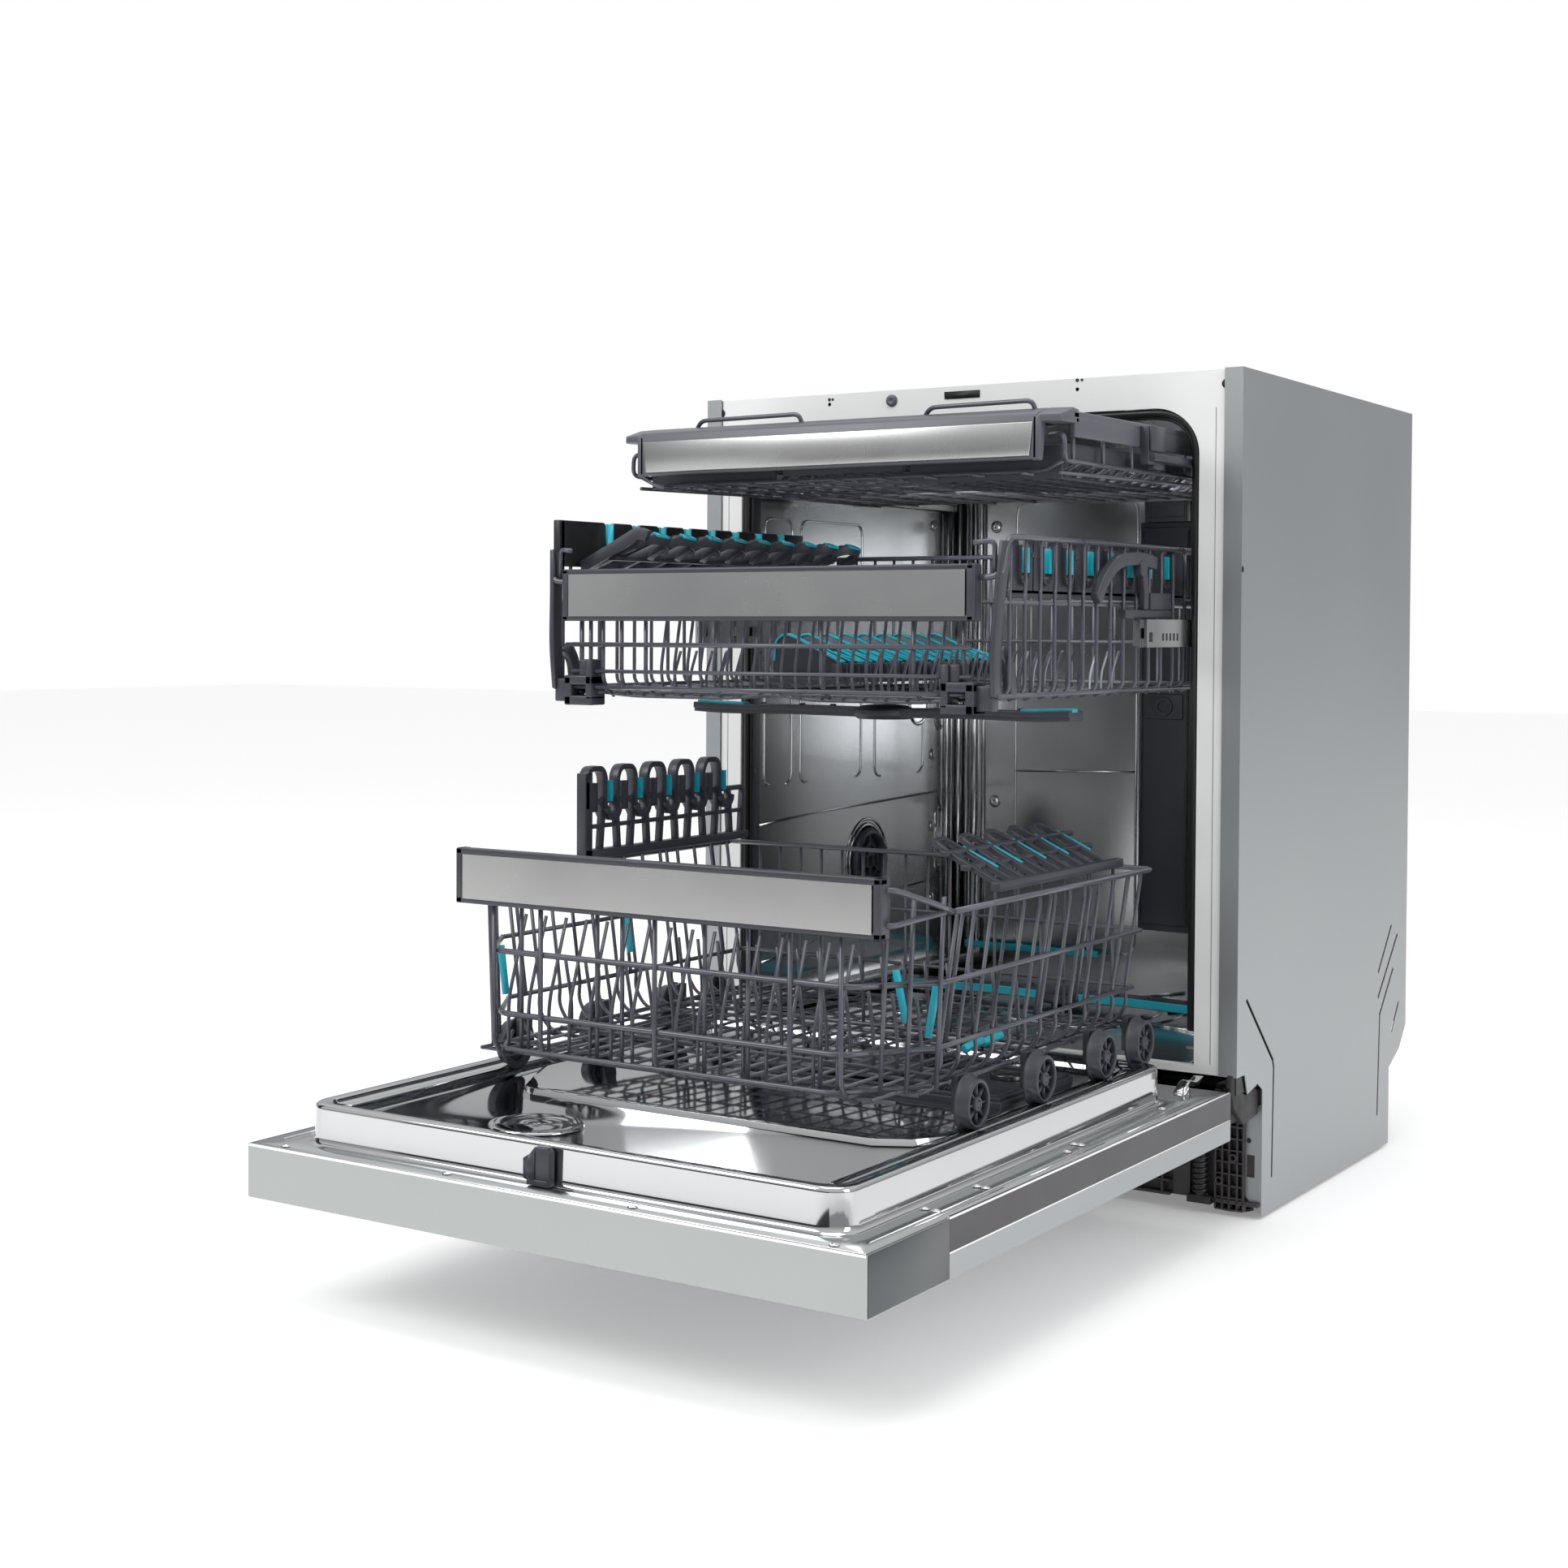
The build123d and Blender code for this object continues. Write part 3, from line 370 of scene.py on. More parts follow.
def lower_basket():
    """The wheeled basket's wires: front and back, sides, floor, and its coloured clips."""
    ends = Shape()
    for z in (206, 237, 292):
        x = lower_x(z)
        path = [at(-x, FRONT + 74, z), at(-x + 46, FRONT, z), at(x - 46, FRONT, z), at(x, FRONT + 74, z)]
        ends.wire(bend(path, 12), 2.6 if z > 206 else 2.0, 10)
    # uprights that turn under the front and run back along the floor
    for x in (-176, -125, -6, 125, 172):
        ends.wire(bend([at(x, FRONT - 3, 352), at(x, FRONT - 3, 210), at(x, FRONT + 14, 197),
                        at(x, FRONT + 34, 197)], 16), 2.2)
    for x in (-150, -69, -43, 40, 82, 150):
        ends.wire([at(x, FRONT + 3, 350), at(x, FRONT + 3, 206)], 2.0)
    for side in (-1, 1):
        for t in (0.25, 0.55, 0.9):
            x, y = side * (190 + 42 * t), FRONT + 4 + 68 * t
            ends.wire([at(x, y, 362), at(x - side * 6, y, 204)], 2.1)
    for x in spread(-165, 165, 16):
        ends.wire(bend([at(x, FRONT + 4, 206), at(x, FRONT + 4, 250), at(x, FRONT + 30, 322)], 14), 1.6)
    # the back
    for z in LEVELS:
        x = lower_x(z) - 2
        ends.wire([at(-x, BACK, z + 1), at(x, BACK, z + 1)], 2.4 if z > 300 else 1.8)
    for x in spread(-196, 196, 17):
        ends.wire(bend([at(x, BACK + 3, 351), at(x, BACK + 3, 204), at(x, BACK - 12, 199)], 10), 1.7)
    ends.make("basket_front_and_back", wire_coat, "lower_rack", ["lower_ends"], "wire_coat")

    sides = Shape()
    for side in (-1, 1):
        for z in (237, 292, 350):
            x = side * lower_x(z)
            sides.wire([at(x, FRONT + 74, z), at(x, BACK, z)], 2.6 if z > 300 else 2.2, 10)
        # the top wire dips at both ends
        x = side * lower_x(350)
        for y in spread(FRONT + 86, BACK - 10, 13):
            low = [at(side * (lower_x(237) - 3), y, 237), at(side * 216, y, 222), at(side * 206, y, 205),
                   at(side * 188, y, 199)]
            sides.wire(bend([at(x - side * 4, y, 350)] + low, 9), 1.8)
        for y in spread(FRONT + 96, BACK - 40, 5):
            sides.wire([at(x - side * 4, y, 350), at(side * (lower_x(237) - 3), y, 237)], 1.8)
    sides.make("basket_sides", wire_coat, "lower_rack", ["lower_sides"], "wire_coat")

    floor = Shape()
    for x in spread(-196, 196, 19):
        floor.wire([at(x, FRONT + 5, 203), at(x, BACK - 2, 203)], 1.6)
    for y in (-520, -480, -424, -372, -300, -234, -170, -110, -72):
        floor.wire([at(-208, y, 199.5), at(208, y, 199.5)], 1.9)
    for side in (-1, 1):
        floor.wire([at(side * 205, FRONT + 60, 200), at(side * 205, BACK - 4, 200)], 2.3)
    floor.make("basket_floor", wire_coat, "lower_rack", ["lower_floor"], "wire_coat")

    clips = Shape()
    for x, y, z0, z1, lean in ((-196, -500, 246, 290, -6), (-196, -300, 262, 300, -6), (196, -440, 240, 285,
            8),
                               (150, -390, 240, 285, -10)):
        clips.wire([at(x, y, z0), at(x + lean, y, z1)], 3.4, 10)
    for x, y in ((175, -330), (175, -292)):
        clips.wire([at(x, y, 212), at(x + 8, y + 20, 218)], 4.0, 10)
    clips.make("basket_clips", teal, "lower_rack", slot="rack_plastic", bevel=0.6)


def tines(name, node, body, y, lean):
    """A folding row of plate tines on one rod, each leaning the same way."""
    row = Shape()
    z = 205
    row.wire([at(-192, y, z), at(192, y, z)], 2.3)
    for x in spread(-180, 180, 17):
        row.wire(bend([at(x, y, z), at(x, y, z + 26), at(x, y + lean, z + 66)], 12), 1.7)
    row.make(name, wire_coat, body, [node], "wire_coat")


def lower_handle():
    """The bezel round the steel handle plate, and the wires that carry it."""
    body = Shape()
    y = LOWER_PLATE_Y
    body.box(-HANDLE_HALF, HANDLE_HALF, y, y + 9, 333, 339)
    body.box(-HANDLE_HALF, HANDLE_HALF, y, y + 11, 376, 382)
    body.box(-HANDLE_HALF, -204.5, y, y + 14, 333, 382)
    body.box(204.5, HANDLE_HALF, y, y + 16, 333, 382)
    body.box(-206, 206, y + 4, y + 9, 336, 378)
    body.make("lower_handle_bezel", slate, "lower_rack", ["lower_handle"], "rack_plastic", bevel=1.4,
              segments=3)
    loop = Shape()
    for side in (-1, 1):
        path = [at(side * 206, y + 10, 372), at(side * 218, y + 14, 372), at(side * 229, y + 60, 358),
                at(side * 232, y + 84, 350)]
        loop.wire(bend(path, 10), 2.6)
        path = [at(side * 206, y + 10, 344), at(side * 216, y + 12, 344), at(side * 230, y + 74, 350)]
        loop.wire(bend(path, 10), 2.6)
    loop.make("lower_handle_wires", wire_coat, "lower_rack", slot="wire_coat")


def cup(shape, x, y, z, wide, tall, pitch, teal_tag):
    """One crown and one U-shaped cup of a shelf, in the plane of its side."""
    half = pitch * 0.30
    crown = [at(x, y - half, z), at(x, y - half, z + tall - 8), at(x, y - half + 6, z + tall),
             at(x, y + half - 6, z + tall), at(x, y + half, z + tall - 8), at(x, y + half, z)]
    strap(shape, bend(crown, 5, 3), (1, 0, 0), wide, 5)
    strap(shape, [at(x, y, z - 4), at(x, y, z + tall - 14)], (1, 0, 0), wide * 0.5, 9)
    gap = [(pitch / 2 - half)]
    bowl = []
    for i in range(9):
        a = pi + pi * i / 8
        bowl.append(at(x, y + pitch / 2 + math.cos(a) * gap[0], z + gap[0] * math.sin(a)))
    strap(shape, bowl, (1, 0, 0), wide * 1.5, 6)
    pad_y = y + half + 3.5
    strap(shape, [at(x + 1, pad_y, z + 6), at(x + 1, pad_y, z + tall - 12)], (1, 0, 0), wide * 1.55, 4,
          teal_tag)


def lower_shelves():
    """The upright cup shelf on the left and the leaning one on the right."""
    left = Shape()
    x, z0 = -214, 360
    pitch = 52.0
    for i in range(6):
        y = -338 + i * pitch
        cup(left, x, y, z0 + 44, 10, 38, pitch, 1) if i < 5 else None
        for d in (-15, 15):
            strap(left, [at(x, y + d * 0.7, z0), at(x, y + d, z0 + 48)], (1, 0, 0), 5, 7)
    strap(left, [at(x, -352, z0 - 2), at(x, -352, z0 + 78)], (1, 0, 0), 10, 12)
    strap(left, [at(x, -356, z0), at(x, -58, z0)], (1, 0, 0), 10, 8)
    strap(left, [at(x, -356, z0 + 26), at(x, -66, z0 + 26)], (1, 0, 0), 4, 4)
    strap(left, [at(x, -356, z0 + 50), at(x, -66, z0 + 50)], (1, 0, 0), 4, 5)
    left.make("cup_shelf_left_cups", [slate, teal], "cup_shelf_left", ["lower_shelf_left"], "rack_plastic",
              bevel=0.8)

    right = Shape()
    # the right shelf leans out over the basket's side
    x, z0 = 214, 358
    pitch = 50.0
    for i in range(5):
        y = -326 + i * pitch
        for d in (-14, 14):
            strap(right, [at(x, y + d, z0), at(x - 52, y + d, z0 + 26)], (0, 1, 0), 7, 5)
        strap(right, bend([at(x - 50, y - 14, z0 + 25), at(x - 66, y - 10, z0 + 34), at(x - 66, y + 10,
                z0 + 34),
                           at(x - 50, y + 14, z0 + 25)], 6), (0.45, 0, 0.9), 6, 5)
        strap(right, [at(x - 54, y + 19, z0 + 26), at(x - 20, y + 19, z0 + 10)], (0, 1, 0), 4, 7, 1)
    strap(right, [at(x, -352, z0), at(x, -84, z0)], (1, 0, 0), 9, 8)
    strap(right, [at(x - 30, -350, z0 + 14), at(x - 30, -84, z0 + 14)], (1, 0, 0), 8, 5)
    strap(right, [at(x - 50, -350, z0 + 25), at(x - 50, -84, z0 + 25)], (1, 0, 0), 8, 5)
    right.make("cup_shelf_right_cups", [slate, teal], "cup_shelf_right", ["lower_shelf_right"],
               "rack_plastic", bevel=0.8)


def wheels():
    """Four pairs of flanged wheels, and the mounts that hold their axles."""
    for i, y in enumerate((-436, -304, -170, -80), 1):
        pair = Shape()
        for side in (-1, 1):
            centre = at(side * 236.5, y, 189.3)
            out = (side, 0, 0)
            rim = [(17, -7.5), (24.2, -7.5), (24.5, -6.5), (24.2, -5.4), (21, -4.6), (20.7, 3.8),
                   (19.6, 4.6), (17.6, 4.6),
                   (17.0, 3.4), (16.8, -1)]
            pair.ring(centre, out, rim, 40)
            pair.ring(centre, out, [(3.2, -7), (6.8, -7), (6.6, 3.2), (5.6, 4.2), (3.2, 4.2)], 20)
            for k in range(8):
                a = 2 * pi * k / 8
                d = Vector((0, math.cos(a), math.sin(a)))
                strap(pair, [centre + d * 0.006, centre + d * 0.0172], (side, 0, 0), 5, 1.8)
            pair.ring(centre, out, [(5.5, -5.5), (18, -5.5), (18, -3), (5.5, -3)], 32)
        pair.make(f"basket_wheels_{i}", slate, f"wheels_{i}", [f"lower_wheels_{i}"], "rack_plastic")
    mounts = Shape()
    for y in (-436, -304, -170, -80):
        for side in (-1, 1):
            mounts.disc(at(side * 224, y, 189.3), (side, 0, 0), 2.9, 16.6)
            mounts.box(side * 219.6, side * 226, y - 9, y + 9, 181, 213)
            mounts.disc(at(side * 226, y, 189.3), (side, 0, 0), 7, 1.6)
    mounts.make("basket_wheel_mounts", slate, "lower_rack", ["lower_axles"], "rack_plastic", bevel=1.2)


lower_basket()
tines("tines_front_row", "lower_tines_front", "tines_front", -420, -10)
tines("tines_rear_row", "lower_tines_rear", "tines_rear", -230, -8)
lower_handle()
lower_shelves()
wheels()

# ---------------------------------------------------------------- middle rack

MID_FRONT, MID_BACK = -381, 83
MID_TOP = 655
MID_PLATE_Y = -393.5
MID_ARM_Y = -149.5


def mid_basket():
    """The middle basket's wires: front and back, sides and floor."""
    ends = Shape()
    for z, r in ((562, 2.2), (537, 1.8), (522, 2.0)):
        ends.wire([at(-206, MID_FRONT - 4, z), at(206, MID_FRONT - 4, z)], r, 10)
    for x in (-197, -187, -173, -152, -125, 60, 150, 197):
        ends.wire(bend([at(x, MID_FRONT, 604), at(x, MID_FRONT, 526), at(x, MID_FRONT + 18, 514)], 10), 2.0)
    for x in spread(-112, 186, 22):
        ends.wire(bend([at(x + 4, MID_FRONT + 16, 612), at(x, MID_FRONT + 6, 540), at(x, MID_FRONT + 10,
                520)], 8), 1.5)
    for z, r in ((524, 1.8), (565, 1.6), (606, 1.6), (MID_TOP - 2, 2.4)):
        ends.wire([at(-222, MID_BACK, z), at(222, MID_BACK, z)], r)
    for x in spread(-206, 206, 19):
        ends.wire(bend([at(x, MID_BACK + 3, MID_TOP - 2), at(x, MID_BACK + 3, 518), at(x, MID_BACK - 14,
                516)], 8), 1.6)
    ends.make("middle_front_and_back", wire_coat, "mid_rack", ["mid_ends"], "wire_coat")

    sides = Shape()
    for side in (-1, 1):
        x = side * 228
        top = [at(side * 207, MID_FRONT - 2, 621), at(side * 232, MID_FRONT - 2, 621), at(side * 233,
                MID_FRONT + 8, MID_TOP),
               at(x, MID_FRONT + 60, MID_TOP + 1), at(x, MID_BACK, MID_TOP)]
        sides.wire(bend(top, 14), 2.8, 10)
        sides.wire([at(side * 230, MID_FRONT + 4, 600), at(side * 226, MID_BACK, 600)], 1.8)
        sides.wire([at(x, MID_FRONT, 521), at(x, MID_BACK, 521)], 2.2)
        for y in spread(MID_FRONT + 24, MID_BACK - 12, 15):
            wire = [at(x, y, MID_TOP), at(x, y, 616), at(side * 231, y - 8, 604), at(side * 231, y - 8, 524),
                    at(side * 216, y - 8, 517)]
            sides.wire(bend(wire, 7), 1.8)
        loop = [at(side * 207, MID_FRONT - 4, 650), at(side * 224, MID_FRONT + 2, 652), at(side * 224,
                MID_FRONT + 2, 622)]
        sides.wire(bend(loop, 6), 2.2)
    sides.make("middle_sides", wire_coat, "mid_rack", ["mid_sides"], "wire_coat")

    floor = Shape()
    for x in spread(-200, 200, 20):
        z = 517 if abs(x) > 24 else 521
        floor.wire([at(x, MID_FRONT, z), at(x, MID_BACK, z)], 1.5)
    for y in spread(MID_FRONT + 14, MID_BACK - 14, 14):
        path = [at(-216, y, 520), at(-150, y, 514), at(-40, y, 514), at(0, y, 519), at(40, y, 514),
                at(150, y, 514), at(216, y, 520)]
        floor.wire(bend(path, 16), 1.7)
    # small tines in rows
    for x in (-120, -70, 90, 150):
        for y in spread(-340, 50, 15):
            floor.wire(bend([at(x, y, 517), at(x, y, 534), at(x + 7, y, 556)], 8), 1.4)
    floor.make("middle_floor", wire_coat, "mid_rack", ["mid_floor"], "wire_coat")


def mid_handle():
    """The bezel, the blocks under its ends, the corner posts and the height levers."""
    body = Shape()
    y = MID_PLATE_Y
    body.box(-HANDLE_HALF, HANDLE_HALF, y, y + 9, 584, 589.5)
    body.box(-HANDLE_HALF, HANDLE_HALF, y, y + 11, 627, 632.5)
    body.box(-HANDLE_HALF, -204.5, y, y + 13, 584, 632.5)
    body.box(204.5, 212.5, y, y + 15, 584, 632.5)
    body.box(-206, 206, y + 4, y + 9, 587, 629)
    body.make("middle_handle_bezel", slate, "mid_rack", ["mid_handle"], "rack_plastic", bevel=1.6, segments=3)

    blocks = Shape()
    for side in (-1, 1):
        x0, x1 = side * 180, side * 211
        y0, y1 = MID_FRONT - 10, MID_FRONT + 14
        blocks.box(x0, x1, y0, y1, 505, 514)
        blocks.box(x0, x1, y0, y1, 524, 533)
        blocks.box(x0, side * 187, y0, y1, 510, 548)
        blocks.box(side * 203, x1, y0, y1, 505, 532)
        blocks.box(side * 187, side * 196, y0 + 3, y1, 530, 548)
        blocks.box(side * 204, side * 226, MID_FRONT - 4, MID_FRONT + 8, 508, 530)
    blocks.make("middle_corner_blocks", slate, "mid_rack", slot="rack_plastic", bevel=1.4)

    arm = Shape()
    for side in (-1, 1):
        path = [at(side * 226, MID_FRONT + 2, 520), at(side * 227, MID_FRONT - 2, 560), at(side * 229,
                MID_FRONT + 2, 610),
                at(side * 232, MID_FRONT + 6, 652)]
        strap(arm, bend(path, 30, 5), (0, 1, 0), 15, 5)
        foot = [at(side * 224, MID_FRONT + 12, 560), at(side * 226, MID_FRONT + 26, 546), at(side * 226,
                MID_FRONT + 30, 520)]
        strap(arm, bend(foot, 8), (1, 0, 0), 8, 12)
    arm.make("middle_corner_posts", slate, "mid_rack", slot="rack_plastic", bevel=1.2)

    levers = Shape()
    for side in (-1, 1):
        x = 236
        grip = [at(side * x, -196, 604), at(side * x, -180, 622), at(side * x, -150, 640), at(side * x,
                -100, 644),
                at(side * x, -60, 640)]
        strap(levers, bend(grip, 20, 5), (1, 0, 0), 8, 12)
        post = [at(side * x, -92, 640), at(side * x, -84, 620), at(side * x, -84, 596)]
        strap(levers, bend(post, 12), (1, 0, 0), 7, 10)
        levers.disc(at(side * 234, -96, 634), (side, 0, 0), 8, 8)
        levers.box(side * 230, side * 238, -130, -20, 588, 596)
        levers.box(side * 230, side * 238, -70, -20, 596, 612)
    levers.make("middle_height_levers", slate, "mid_rack", slot="rack_plastic", bevel=1.4, segments=3)


def mid_left():
    """Stem-glass shelf: a leaning fin per glass, each with a soft edge."""
    shelf = Shape()
    pitch = 47.0
    for i in range(9):
        y = -340 + i * pitch
        if y > 60:
            break
        fin = [at(-217, y, 637), at(-196, y + 3, 646), at(-160, y + 10, 662)]
        strap(shelf, bend(fin, 10), (0.35, 0, -0.9), 9, 8)
        head = [at(-166, y + 6, 657), at(-152, y + 14, 664), at(-148, y + 30, 660), at(-158, y + 36, 652)]
        strap(shelf, bend(head, 8), (0.35, 0, 0.9), 10, 8)
        strap(shelf, [at(-206, y + 8, 646), at(-160, y + 18, 666)], (0.35, 0, -0.9), 4, 4)
        strap(shelf, [at(-150, y + 12, 666.4), at(-146, y + 26, 664.4)], (0.35, 0, 0.9), 2.4, 9, 1)
        bowl = [at(-150, y + 30, 656), at(-170, y + 36, 648), at(-176, y + 44, 646), at(-160, y + 50, 652)]
        strap(shelf, bend(bowl, 8), (0.35, 0, 0.9), 8, 6)
    strap(shelf, [at(-218, -348, 637), at(-218, 58, 637)], (1, 0, 0), 9, 7)
    strap(shelf, [at(-192, -344, 644), at(-192, 58, 644)], (1, 0, 0), 16, 4)
    strap(shelf, bend([at(-218, -350, 636), at(-190, -348, 650), at(-156, -346, 668), at(-146, -346, 664)],
                      8), (0, 1, 0), 6, 11)
    shelf.make("middle_left_fins", [slate, teal], "mid_left_shelf", ["mid_shelf_left"], "rack_plastic",
               bevel=0.7)

    wall = Shape()
    top, foot = 680, 636
    outline = []
    y = -378.0
    outline.append((y, foot))
    outline.append((y, top - 2))
    outline.append((y + 3, top))
    y = -300.0
    while y < 76:
        outline += [(y - 6, top), (y - 3, top - 3), (y - 3, top - 20), (y, top - 24), (y + 6, top - 24),
                    (y + 9, top - 20),
                    (y + 9, top - 3), (y + 12, top)]
        y += pitch
    outline += [(80, top), (80, foot)]
    for side in (-1,):
        face = [at(side * 224, a, b) for a, b in outline]
        wall.prism(face, HERE, Vector((side * 0.005, 0, 0)))
    wall.box(-231, -224, -381, -372, foot - 14, top)
    wall.make("middle_left_wall", [black_plastic, teal], "mid_rack", slot="rack_plastic", bevel=0.8)
    edge = Shape()
    y = -300.0
    while y < 76:
        notch = [at(-226.5, y - 2.2, top - 1), at(-226.5, y - 2.2, top - 20), at(-226.5, y + 0.5, top - 23),
                 at(-226.5, y + 5.5, top - 23), at(-226.5, y + 8.2, top - 20), at(-226.5, y + 8.2, top - 1)]
        strap(edge, notch, (1, 0, 0), 6.4, 1.8)
        y += pitch
    edge.make("middle_left_wall_edges", teal, "mid_rack", slot="rack_plastic")


def mid_right():
    """A wall of U-shaped cups on the right, and the comb for glasses on the floor."""
    shelf = Shape()
    pitch = 46.0
    x = 217.5
    foot, top = 608, 656
    outline = [(-342, foot), (-342, top - 3), (-339, top)]
    y = -318.0
    while y < 50:
        outline += [(y - 9, top), (y - 7, top - 4), (y - 7, top - 32)]
        outline += [(y - 7 * math.cos(a), top - 32 - 7 * math.sin(a)) for a in spread(0.3, pi - 0.3, 7)]
        outline += [(y + 7, top - 32), (y + 7, top - 4), (y + 9, top)]
        y += pitch
    outline += [(56, top), (56, foot)]
    shelf.prism([at(x, a, b) for a, b in outline], HERE, Vector((0.0035, 0, 0)))
    y = -318.0
    while y < 50:
        bowl = [at(x + 2, y - 8.5, top - 6), at(x + 2, y - 8.5, top - 30)]
        bowl += [at(x + 2, y - 8.5 * math.cos(a), top - 31 - 8.5 * math.sin(a)) for a in spread(0.3,
                pi - 0.3, 7)]
        bowl += [at(x + 2, y + 8.5, top - 30), at(x + 2, y + 8.5, top - 6)]
        strap(shelf, bowl, (1, 0, 0), 10, 2.4)
        strap(shelf, [at(x + 1.5, y + 6, top - 8), at(x + 1.5, y + 6, top - 30)], (1, 0, 0), 10.6, 5, 1)
        for d in (-16, 16):
            shelf.disc(at(x + 3, y + d * 1.3, top - 14), (1, 0, 0), 2.6, 1.4)
        y += pitch
    strap(shelf, [at(x, -344, foot), at(x, 58, foot)], (1, 0, 0), 7, 7)
    for y in spread(-340, 54, 10):
        strap(shelf, [at(x + 0.5, y, foot), at(x + 0.5, y, top - 4)], (1, 0, 0), 6, 3)
    shelf.make("middle_right_cups", [slate, teal], "mid_right_shelf", ["mid_shelf_right"], "rack_plastic",
               bevel=0.6)

    comb = Shape()
    for i in range(9):
        y = -316 + i * 37
        fin = [at(-26, y, 532), at(-24, y, 566), at(-14, y, 573), at(0, y, 568), at(44, y, 547),
               at(44, y, 534)]
        comb.prism(fin, Vector((0, -0.002, 0)), Vector((0, 0.002, 0)))
        edge = [at(-24.5, y, 548), at(-24, y, 566), at(-14, y, 573.4), at(0, y, 568.4), at(45, y, 547)]
        strap(comb, bend(edge, 7), (0, 1, 0), 6, 2.2, 1)
        for k in range(3):
            shift = 0.010 + 0.009 * k
            strap(comb, [at(-6, y, 570) + Vector((shift, 0.009 * (k + 1), -shift * 0.5)),
                         at(40, y, 549) + Vector((shift * 0.3, 0.009 * (k + 1), -0.002))], (0, 1, 0), 3, 2, 1)
    comb.box(-26, 48, -330, 0, 528, 533)
    for y in spread(-326, -4, 30):
        comb.box(40, 50, y - 1, y + 1, 530, 546)
    comb.make("middle_glass_comb", [slate, teal], "mid_rack", slot="rack_plastic", bevel=0.5)


def mid_arm():
    """The spray arm that hangs under the middle basket."""
    blade = Shape()
    z = 490
    for sign in (-1, 1):
        path = [at(sign * 10, MID_ARM_Y, z + 6), at(sign * 90, -147, z + 7), at(sign * 170, -152, z + 6),
                at(sign * 203, -160, z + 8)]
        strap(blade, bend(path, 30, 5), (0, 1, 0), 30, 9)
        strap(blade, bend([p + Vector((0, -0.014, 0.002)) for p in path], 30, 5), (0, 1, 0), 6, 6)
        strap(blade, [at(sign * 150, -160, z + 11), at(sign * 203, -163, z + 13)], (0, 1, 0), 12, 4, 1)
        for x in (60, 95, 140, 180):
            blade.ring(at(sign * x, -144, z + 11.5), (0, 0, 1), [(1.4, 0), (3.2, 0), (3.0, 1.6),
                                                                 (1.6, 1.6)], 16)
    blade.ring(at(0, MID_ARM_Y, z), (0, 0, 1), [(0.5, -1), (26, 0), (30, 4), (30, 9), (22, 13), (12, 14),
                                             (0.5, 14)], 40)
    blade.make("middle_spray_blade", [slate, teal], "mid_arm", ["mid_spray_arm"], "rack_plastic", bevel=1.2,
               segments=3)


mid_basket()
mid_handle()
mid_left()
mid_right()
mid_arm()

# ---------------------------------------------------------------- cutlery tray

TRAY_FRONT, TRAY_BACK = -265, 201


